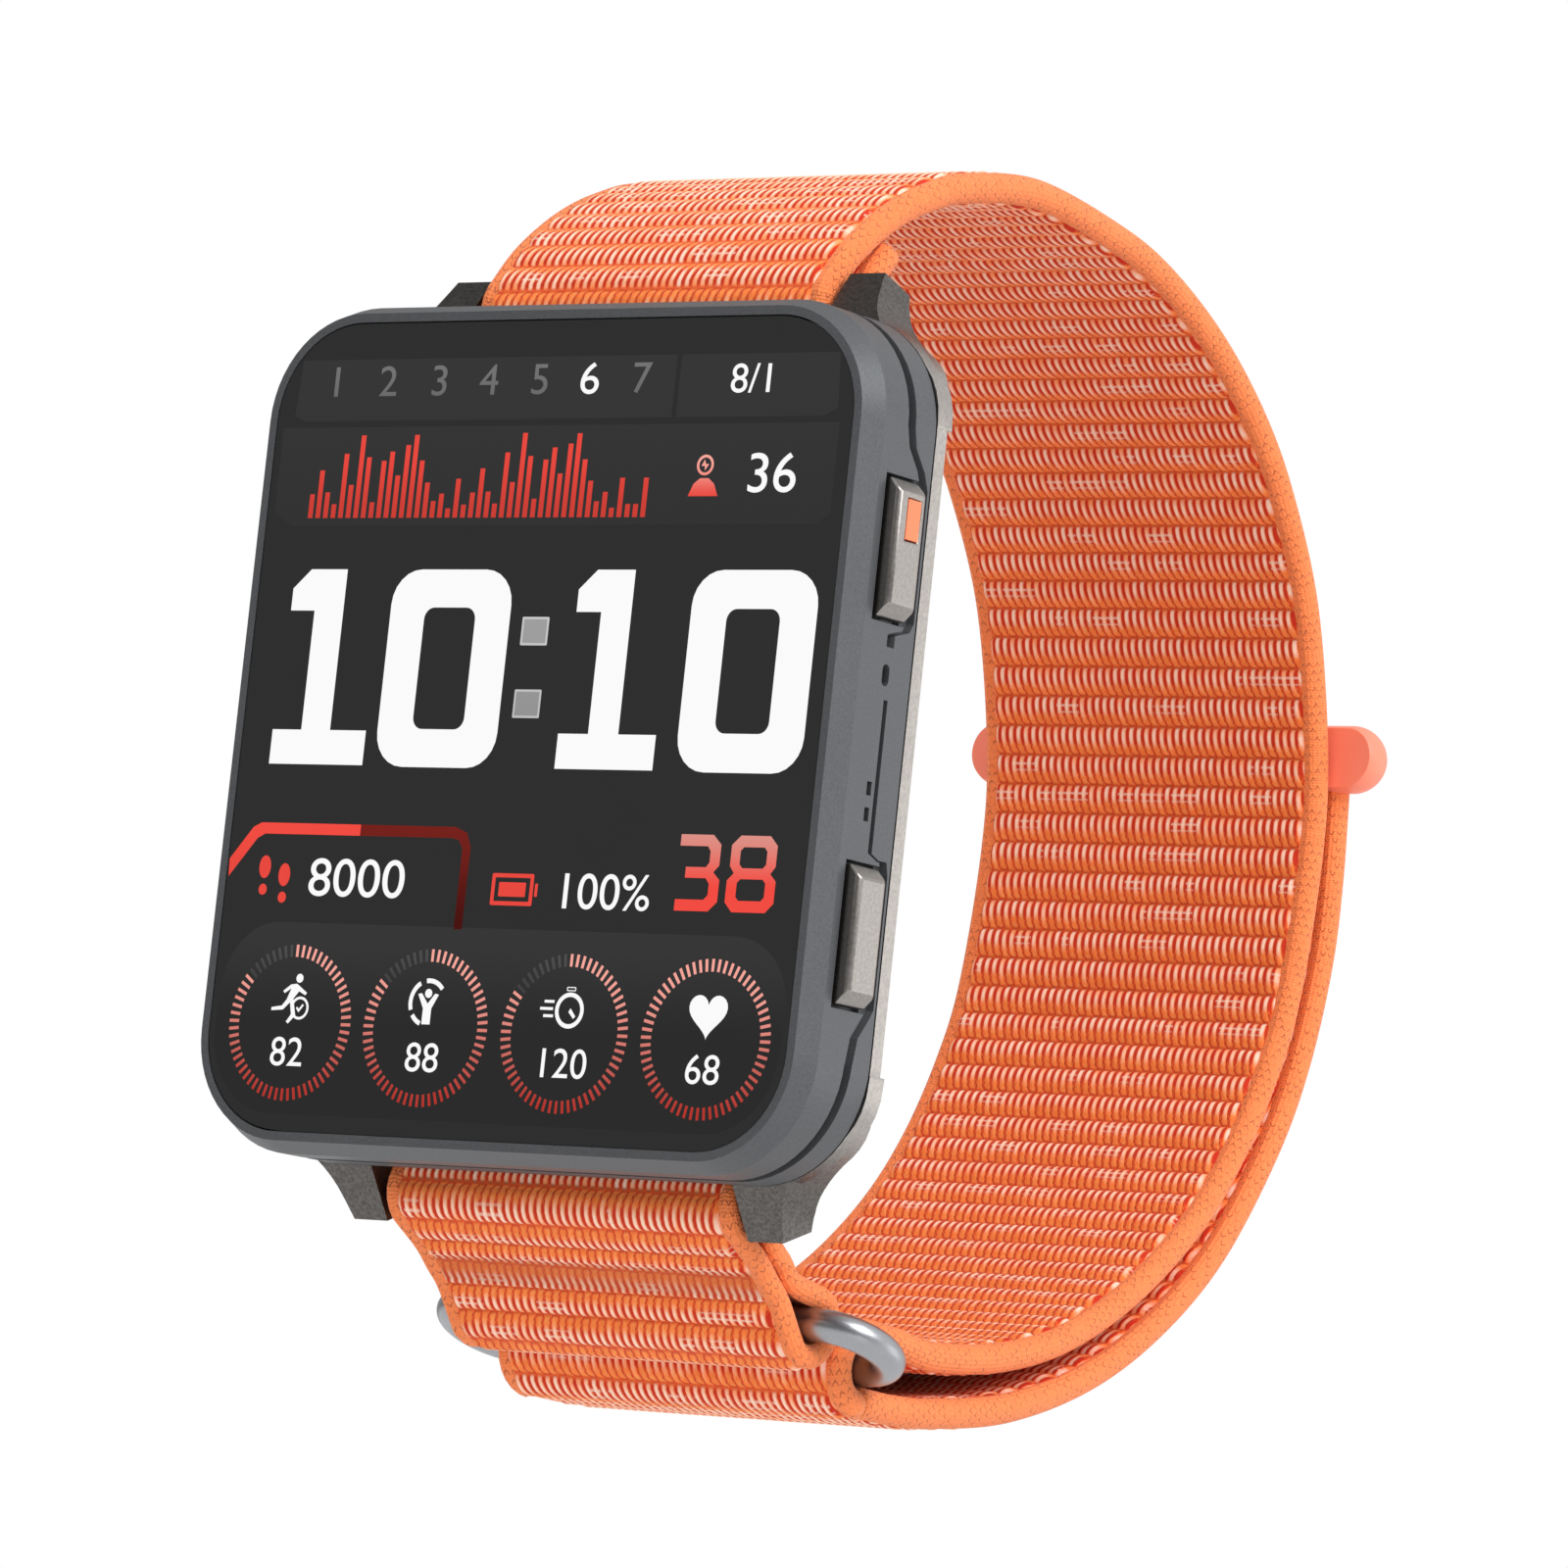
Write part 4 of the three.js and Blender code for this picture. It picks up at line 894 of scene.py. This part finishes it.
# Outlines in mm, each from its own corner or middle.
ONE = (
    (0.35, 6.2), (0.35, 7.4), (1.5, 8.45), (4.0, 8.45), (4.0, -0.28), (6.5, -0.28),
    (6.5, -2.15), (0.0, -2.15), (0.0, -0.28), (2.0, -0.28), (2.0, 6.2),
)
THREE = (
    (11.2, -5.45), (13.3, -5.45), (13.85, -5.95), (13.85, -7.05), (13.5, -7.4), (13.95, -7.8),
    (13.95, -8.95), (13.4, -9.45), (11.2, -9.45), (11.2, -8.85), (13.05, -8.85), (13.3, -8.6),
    (13.3, -8.0), (13.05, -7.72), (11.7, -7.72), (11.7, -7.15), (13.0, -7.15), (13.2, -6.9),
    (13.2, -6.3), (13.0, -6.05), (11.2, -6.05),
)
EIGHT = (
    (15.1, -5.45), (17.0, -5.45), (17.5, -5.95), (17.5, -7.05), (17.2, -7.42), (17.6, -7.8),
    (17.6, -8.95), (17.1, -9.45), (14.95, -9.45), (14.45, -8.95), (14.45, -7.8), (14.85, -7.42),
    (14.55, -7.05), (14.55, -5.95),
)
PROGRESS = (
    (-19.3, -7.35), (-17.85, -5.6), (-17.3, -5.35), (-10.4, -5.35),
    (-10.4, -5.95), (-17.0, -5.95), (-17.5, -6.2), (-19.25, -8.3),
)
PROGRESS_REST = (
    (-10.4, -5.35), (-3.9, -5.35), (-3.1, -5.65), (-2.75, -6.4), (-2.75, -10.8),
    (-3.3, -10.8), (-3.3, -6.5), (-3.6, -6.05), (-4.1, -5.95), (-10.4, -5.95),
)
CHART = (
    1.3, 2.6, 1.4, 0.75, 3.5, 1.8, 4.5, 3.3, 0.85, 3.1, 3.6, 2.3, 3.95, 4.5, 3.1, 1.9, 0.9, 1.3, 0.5, 2.1,
    0.7, 1.35, 2.65, 1.4, 0.75, 3.5, 1.9, 4.55, 3.3, 1.0, 3.1, 3.75, 2.35, 3.95, 4.5, 3.1, 1.95, 0.85, 1.35,
    0.5, 2.1, 0.7, 0.7, 2.1,
)
RAISED_ARMS = (
    (-0.7, 0.45), (-0.45, 0.5), (0.0, -0.05), (0.45, 0.5), (0.7, 0.45),
    (0.28, -0.3), (0.28, -1.15), (-0.28, -1.15), (-0.28, -0.3),
)
TICK = ((-13.5, -0.55), (-13.3, -0.78), (-12.98, -0.4), (-13.07, -0.32), (-13.3, -0.6), (-13.42, -0.48))
RUNNER = (
    (-13.6, 0.75), (-14.0, 0.7), (-14.5, 0.35), (-14.4, 0.22), (-13.95, 0.5), (-14.2, -0.1), (-14.5, -0.45),
    (-15.2, -0.55), (-15.2, -0.72), (-14.4, -0.66), (-13.95, -0.25), (-13.8, -0.9), (-14.1, -1.3),
    (-13.95, -1.4), (-13.5, -0.95), (-13.75, -0.05), (-13.4, 0.35), (-12.95, 0.15), (-12.85, 0.28),
    (-13.35, 0.6),
)
BOLT = ((10.1, 14.3), (9.9, 13.95), (10.12, 13.95), (10.15, 13.7), (10.4, 14.05), (10.18, 14.05))
DIAL_MIDDLES = (-13.82, -4.5, 4.85, 14.15)
DIAL_Z = -16.1
ICON_Z = -14.75


class Art:
    """Flat shapes and digits of one colour, gathered and then laid on the lens."""

    def __init__(self, lift):
        self.curves = []
        self.lift = lift

    def outline(self, *outlines):
        """A filled shape; outlines inside the first are holes."""
        curve = bpy.data.curves.new("art", "CURVE")
        curve.dimensions = "2D"
        curve.fill_mode = "BOTH"
        for points in outlines:
            spline = curve.splines.new("POLY")
            spline.points.add(len(points) - 1)
            for slot, (x, z) in zip(spline.points, points):
                slot.co = (x, z, 0.0, 1.0)
            spline.use_cyclic_u = True
        return self.keep(curve)

    def keep(self, curve, matrix=None):
        curve.extrude = self.lift / 2
        obj = bpy.data.objects.new("art", curve)
        bpy.context.scene.collection.objects.link(obj)
        self.curves.append((obj, matrix or Matrix.Identity(4)))
        return self

    def digits(self, text, x, z, height, narrow=0.82, heavy=0.0):
        """Plain digits centred on a point, with the given height."""
        curve = bpy.data.curves.new("art", "FONT")
        curve.body = text
        curve.align_x = "CENTER"
        curve.align_y = "CENTER"
        curve.size = height / 0.72
        curve.offset = heavy
        place = Matrix.Translation((x, z, 0)) @ Matrix.Diagonal((narrow, 1.0, 1.0, 1.0))
        return self.keep(curve, place)

    def mesh(self):
        """All the shapes as one mesh on the lens."""
        depsgraph = bpy.context.evaluated_depsgraph_get()
        bm = bmesh.new()
        for obj, matrix in self.curves:
            data = bpy.data.meshes.new_from_object(obj.evaluated_get(depsgraph))
            data.transform(matrix)
            bm.from_mesh(data)
            bpy.data.meshes.remove(data)
            source = obj.data
            bpy.data.objects.remove(obj)
            bpy.data.curves.remove(source)
        bmesh.ops.rotate(bm, verts=bm.verts, matrix=Matrix.Rotation(math.pi / 2, 3, "X"))
        bmesh.ops.translate(bm, verts=bm.verts, vec=(0, FRONT - self.lift / 2, 0))
        bmesh.ops.scale(bm, verts=bm.verts, vec=(MM, MM, MM))
        return bm


class WATCH_OT_display(bpy.types.Operator):
    """Light the display with its digits, chart and dials"""

    bl_idname = "watch.display"
    bl_label = "Display"

    def execute(self, context):
        s = context.scene.watch_screen
        paint("display_lens", cover_glass("lens_black", (0.004, 0.004, 0.004), s.black))
        self.panels(s)
        self.white(s)
        self.grey(s)
        self.red(s)
        self.dials(s)
        return {"FINISHED"}

    def lay(self, name, art, material):
        piece(name, art.mesh(), material, "case", (), False)

    def panels(self, s):
        """Slightly lighter fields behind the dates, the chart and the dials."""
        art = Art(s.lift * 0.5)
        art.outline([(-18.2, 16.85), (-17.4, 16.55), (7.55, 16.55), (7.55, 19.9), (-18.0, 19.9)])
        art.outline([(7.85, 16.55), (17.6, 16.55), (18.4, 17.0), (18.2, 19.9), (7.85, 19.9)])
        foot = [(18.6, 11.4), (17.6, 10.85), (-17.6, 10.85), (-18.9, 11.6)]
        art.outline([(-18.9, 16.2), (18.6, 16.2), *foot])
        self.lay("display_panels", art, lit("lit_panel", s.panel, shade(s.panel, 0.86), 20.0, 11.0))
        low = Art(s.lift * 0.5)
        top = [*bend((-15.2, -14.4), 3.7, 180, 90), *bend((15.4, -14.4), 3.7, 90, 0)]
        low.outline([*top, *bend((14.6, -16.6), 4.4, 0, -90), *bend((-14.6, -16.6), 4.4, -90, -180)])
        self.lay("display_dial_panel", low, lit("lit_dial_panel", s.panel, s.black, -10.8, -16.5))

    def white(self, s):
        """The main digits, the readings and the dials' icons."""
        art = Art(s.lift)
        for x in (-17.3, 2.3):
            art.outline(moved(ONE, x, 0.0))
        for x in (-10.0, 10.25):
            art.outline(rounded(x, x + 8.2, -2.2, 8.45, 1.9), rounded(x + 2.35, x + 5.85, -0.15, 6.4, 0.65))
        art.digits("36", 14.55, 13.45, 2.15, 1.14, 0.005)
        art.digits("8000", -10.3, -8.35, 2.1, 1.16, 0.005)
        art.digits("100%", 6.4, -8.7, 1.95, 1.08)
        art.digits("8/1", 12.75, 18.5, 1.6, 1.1)
        art.digits("6", 1.85, 18.6, 1.75, 1.2)
        for text, x in zip(("82", "88", "120", "68"), DIAL_MIDDLES):
            art.digits(text, x, -17.75, 1.6, 1.06)
        self.heart(art)
        self.stopwatch(art)
        self.figure(art)
        self.runner(art)
        self.lay("display_white", art, lit("lit_white", s.white, s.white, 10.0, -20.0))

    def heart(self, art):
        outline = []
        for a in np.radians(np.linspace(0, 360, 40, endpoint=False)):
            high = 13 * math.cos(a) - 5 * math.cos(2 * a) - 2 * math.cos(3 * a) - math.cos(4 * a)
            outline.append((DIAL_MIDDLES[3] + 0.078 * 16 * math.sin(a) ** 3, ICON_Z + 0.08 * high))
        art.outline(outline)

    def stopwatch(self, art):
        z = ICON_Z
        self.circle(art, 5.05, z - 0.12, 0.95, 0.72)
        crown = rounded(4.75, 5.35, z + 0.9, z + 1.12, 0.05)
        art.outline(crown, rounded(4.8, 5.3, z + 0.95, z + 1.07, 0.02))
        art.outline([(5.0, z - 0.2), (5.35, z - 0.55), (5.48, z - 0.42), (5.12, z)])
        for k, (start, end) in enumerate(((3.35, 4.0), (3.1, 3.95), (3.35, 4.0))):
            low = z + 0.25 - k * 0.38
            art.outline(rectangle(start, end, low, low + 0.15))

    def figure(self, art):
        """A figure with raised arms in three sweeps."""
        x, z = DIAL_MIDDLES[1], ICON_Z
        for start, end in ((100, 40), (200, 120), (250, 215)):
            art.outline([*bend((x, z), 1.3, start, end), *bend((x, z), 1.05, end, start)])
        art.outline(moved(RAISED_ARMS, x, z))
        self.circle(art, x, z + 0.5, 0.24, 0.0)

    def runner(self, art):
        self.circle(art, -13.25, ICON_Z - 0.55, 0.62, 0.48)
        art.outline(moved(TICK, 0.0, ICON_Z))
        self.circle(art, -13.45, ICON_Z + 1.05, 0.24, 0.0)
        art.outline(moved(RUNNER, 0.0, ICON_Z))

    def circle(self, art, x, z, radius, inner):
        """A disc, or a ring where inner isn't 0."""
        art.outline(*(bend((x, z), r, 0, 350, 35) for r in (radius, inner) if r))

    def grey(self, s):
        """The framed colon, and the days that aren't today."""
        art, frames, quiet = Art(s.lift), Art(s.lift), Art(s.lift)
        for z in (4.4, 0.52):
            dot = rounded(-0.8, 0.76, z + 0.12, z + 1.4, 0.06, 2)
            art.outline(dot)
            frames.outline(rounded(-0.92, 0.88, z, z + 1.52, 0.06, 2), dot)
        edge = lit("lit_colon_edge", shade(s.grey, 1.7), shade(s.grey, 1.5), 6.0, 0.0)
        self.lay("display_colon_edge", frames, edge)
        for day, x in zip("123457", (-15.5, -11.9, -8.35, -4.95, -1.5, 5.3)):
            quiet.digits(day, x, 18.6, 1.7, 1.15)
        self.lay("display_colon", art, lit("lit_grey", s.grey, shade(s.grey, 0.85), 6.0, 0.0))
        days = lit("lit_quiet", shade(s.grey, 0.5), shade(s.grey, 0.42), 19.5, 17.7)
        self.lay("display_days", quiet, days)

    def red(self, s):
        """The chart, the small marks, the progress line and the two large digits."""
        art = Art(s.lift)
        pitch = 22.7 / (len(CHART) - 1)
        for k, high in enumerate(CHART):
            x = -16.35 + k * pitch
            art.outline(rectangle(x - 0.16, x + 0.16, 11.25, 11.25 + high))
        self.lay("display_chart", art, lit("lit_chart", s.red, shade(s.red, 0.72), 15.0, 11.0))
        self.marks(s)
        bar = Art(s.lift)
        bar.outline(PROGRESS)
        self.lay("display_progress", bar, lit("lit_progress", shade(s.red, 1.1), s.red, -5.3, -8.0))
        dim = Art(s.lift)
        dim.outline(PROGRESS_REST)
        unlit = lit("lit_dim", shade(s.red, 0.22), shade(s.red, 0.08), -5.3, -10.8)
        self.lay("display_progress_rest", dim, unlit)
        big = Art(s.lift)
        big.outline(THREE)
        eyes = [chamfered(15.15, 16.88, -7.15, -6.05, 0.2), chamfered(15.1, 16.95, -8.85, -7.72, 0.2)]
        big.outline(EIGHT, *eyes)
        rosy = lit("lit_big_red", shade(s.rose, 0.75), shade(s.red, 1.1), -5.0, -8.4)
        self.lay("display_big_red", big, rosy)

    def marks(self, s):
        """A charging person, a battery and two footprints."""
        mark = Art(s.lift)
        mark.outline([(9.2, 12.35), (11.15, 12.35), (10.85, 13.0), (10.45, 13.3), (9.9, 13.3), (9.5, 13.0)])
        self.circle(mark, 10.15, 14.0, 0.55, 0.4)
        mark.outline(BOLT)
        mark.outline(rounded(-1.05, 1.75, -9.45, -7.75, 0.1), rounded(-0.83, 1.53, -9.23, -7.97, 0.05))
        mark.outline(rounded(-0.55, 1.25, -8.98, -8.22, 0.05))
        mark.outline(rounded(1.87, 2.05, -8.95, -8.25, 0.05))
        turn = np.linspace(0, 2 * math.pi, 20, endpoint=False)
        for x, z in ((-16.75, -7.75), (-15.35, -8.15)):
            for drop, wide, high in ((0.0, 0.4, 0.62), (1.22, 0.28, 0.3)):
                mark.outline([(x + wide * math.cos(a), z - drop + high * math.sin(a)) for a in turn])
        self.lay("display_marks", mark, lit("lit_rose", s.rose, s.red, 14.4, 12.2))

    def dials(self, s):
        """Four rings of ticks; the first three have an unlit stretch."""
        lit_ticks, quiet = bmesh.new(), bmesh.new()
        count, long = 60, 0.66
        for x, unlit in zip(DIAL_MIDDLES, (8, 8, 9, 0)):
            for k in range(count):
                bm = quiet if k and k <= unlit else lit_ticks
                tick = bmesh.ops.create_cube(bm, size=1.0)["verts"]
                turn = Matrix.Rotation(-2 * math.pi * k / count, 3, "Y")
                bmesh.ops.scale(bm, verts=tick, vec=(0.17, s.lift, long))
                bmesh.ops.translate(bm, verts=tick, vec=(0, 0, s.ring_radius - long / 2))
                bmesh.ops.rotate(bm, verts=tick, matrix=turn)
                bmesh.ops.translate(bm, verts=tick, vec=(x, FRONT - s.lift / 2, DIAL_Z))
        rosy = lit("lit_ticks", s.rose, shade(s.red, 0.55), -12.0, -20.2)
        grey = lit("lit_ticks_rest", shade(s.grey, 0.22), shade(s.grey, 0.15), -12.0, -14.0)
        for bm, name, material in ((lit_ticks, "display_ticks", rosy), (quiet, "display_ticks_rest", grey)):
            bmesh.ops.scale(bm, verts=bm.verts, vec=(MM, MM, MM))
            piece(name, bm, material, "case", (), False)


LIGHTS = {  # name: place in metres, width in metres, watts
    "key": ((0.62, 0.66, -0.08), 0.5, 0.7),
    "front": ((-0.1, -0.85, 0.5), 0.5, 0.8),
    "fill": ((0.7, -0.12, 0.55), 0.55, 5.4),
    "top": ((0.1, 0.1, 0.95), 0.6, 0.2),
    "low": ((0.75, -0.5, -0.5), 0.5, 8.4),
}
CAMERA_TURN = (38.4, -6.6, 6.17)  # azimuth, elevation and roll in degrees
CAMERA_DISTANCE = 0.482
CAMERA_LENS = 207.43
CAMERA_AIM = (-0.01862, 0.003625, -1.0)  # where the lens points beside the line to the origin


class WATCH_OT_stage(bpy.types.Operator):
    """Set the floor, lights and camera"""

    bl_idname = "watch.stage"
    bl_label = "Stage"

    def execute(self, context):
        self.floor()
        self.surroundings(context)
        self.lights(context)
        self.camera(context)
        context.scene.view_settings.view_transform = "Standard"
        return {"FINISHED"}

    def floor(self):
        bm = bmesh.new()
        bmesh.ops.create_circle(bm, segments=96, radius=FLOOR_RADIUS, cap_ends=True)
        bmesh.ops.translate(bm, verts=bm.verts, vec=(0.0, 0.0, FLOOR_HEIGHT))
        f = Finish("floor_white", Roughness=0.9, Specular_IOR_Level=0.0)
        f.set(Emission_Color=(0.9, 0.9, 0.9), Emission_Strength=1.0)
        f.set(Base_Color=f.mix(f.noise(6.0), (0.07, 0.07, 0.07), (0.08, 0.08, 0.08)))
        piece("floor", bm, f.material, None, smooth=False)

    def surroundings(self, context):
        """White to the eye, pale for soft light, and darker in front and on the left for reflections."""
        world = bpy.data.worlds.new("studio")
        context.scene.world = world
        world.use_nodes = True
        tree = world.node_tree
        seen = tree.nodes.new("ShaderNodeLightPath").outputs
        direction = tree.nodes.new("ShaderNodeTexCoord").outputs["Generated"]
        parts = tree.nodes.new("ShaderNodeSeparateXYZ")
        tree.links.new(direction, parts.inputs[0])
        both = tree.nodes.new("ShaderNodeMath")
        both.operation = "MULTIPLY"
        ranges = (("Y", -0.6, 0.35, 0.2, 1.0), ("X", -0.65, 0.35, 0.5, 1.0))
        for socket, (axis, *limits) in zip(both.inputs, ranges):
            ranged = tree.nodes.new("ShaderNodeMapRange")
            for label, value in zip(("From Min", "From Max", "To Min", "To Max"), limits):
                ranged.inputs[label].default_value = value
            tree.links.new(parts.outputs[axis], ranged.inputs["Value"])
            tree.links.new(ranged.outputs[0], socket)
        colour_so_far = both.outputs[0]
        for ray, level in (("Is Diffuse Ray", 0.9), ("Is Camera Ray", 1.0)):
            mix = tree.nodes.new("ShaderNodeMix")
            mix.data_type = "RGBA"
            mix.inputs[7].default_value = (level, level, level, 1.0)
            tree.links.new(seen[ray], mix.inputs[0])
            tree.links.new(colour_so_far, mix.inputs[6])
            colour_so_far = mix.outputs[2]
        tree.links.new(colour_so_far, tree.nodes["Background"].inputs["Color"])

    def lights(self, context):
        """Soft square lamps that face the origin."""
        for name, (place, width, watts) in LIGHTS.items():
            data = bpy.data.lights.new(name, "AREA")
            data.size = width
            data.energy = watts
            lamp = bpy.data.objects.new(name, data)
            lamp.location = place
            lamp.rotation_euler = (-Vector(place)).to_track_quat("-Z", "Y").to_euler()
            context.scene.collection.objects.link(lamp)

    def camera(self, context):
        azimuth, elevation, roll = (math.radians(a) for a in CAMERA_TURN)
        level = math.cos(elevation)
        toward = Vector((math.sin(azimuth) * level, -math.cos(azimuth) * level, math.sin(elevation)))
        right = Vector((math.cos(azimuth), math.sin(azimuth), 0.0))
        up = toward.cross(right)
        side = right * math.cos(roll) + up * math.sin(roll)
        over = up * math.cos(roll) - right * math.sin(roll)
        axes = Matrix((side, over, toward)).transposed()
        aim = Vector((0.0, 0.0, -1.0)).rotation_difference(Vector(CAMERA_AIM).normalized())
        turn = (axes @ aim.to_matrix().inverted()).to_4x4()
        data = bpy.data.cameras.new("camera")
        data.sensor_width = 36.0
        data.lens = CAMERA_LENS
        data.clip_start = 0.02
        data.clip_end = 50.0
        camera = bpy.data.objects.new("camera", data)
        camera.matrix_world = Matrix.Translation(toward * CAMERA_DISTANCE) @ turn
        context.scene.collection.objects.link(camera)
        context.scene.camera = camera


class WATCH_PT_panel(bpy.types.Panel):
    """Sizes, colours and the buttons that build each group"""

    bl_label = "GPS running watch"
    bl_space_type = "VIEW_3D"
    bl_region_type = "UI"
    bl_category = "Watch"

    def draw(self, context):
        for settings in ("watch_strap", "watch_case", "watch_screen"):
            group = getattr(context.scene, settings)
            box = self.layout.box()
            for key in group.bl_rna.properties.keys():
                if key not in {"rna_type", "name"}:
                    box.prop(group, key)
        for operator in OPERATORS:
            self.layout.operator(operator.bl_idname)


SETTINGS = {"watch_strap": StrapSettings, "watch_case": CaseSettings, "watch_screen": ScreenSettings}
OPERATORS = (
    WATCH_OT_stage,
    WATCH_OT_case,
    WATCH_OT_display,
    WATCH_OT_long_strap,
    WATCH_OT_short_strap,
    WATCH_OT_ring,
    WATCH_OT_tab,
)
CLASSES = (*SETTINGS.values(), *OPERATORS, WATCH_PT_panel)


def register():
    for cls in CLASSES:
        bpy.utils.register_class(cls)
    for name, cls in SETTINGS.items():
        setattr(bpy.types.Scene, name, bpy.props.PointerProperty(type=cls))


def unregister():
    for name in SETTINGS:
        delattr(bpy.types.Scene, name)
    for cls in reversed(CLASSES):
        bpy.utils.unregister_class(cls)


def main():
    register()
    bpy.ops.watch.stage()
    bpy.ops.watch.case()
    bpy.ops.watch.display()
    bpy.ops.watch.long_strap()
    bpy.ops.watch.short_strap()
    bpy.ops.watch.ring()
    bpy.ops.watch.tab()


if __name__ == "__main__":
    main()
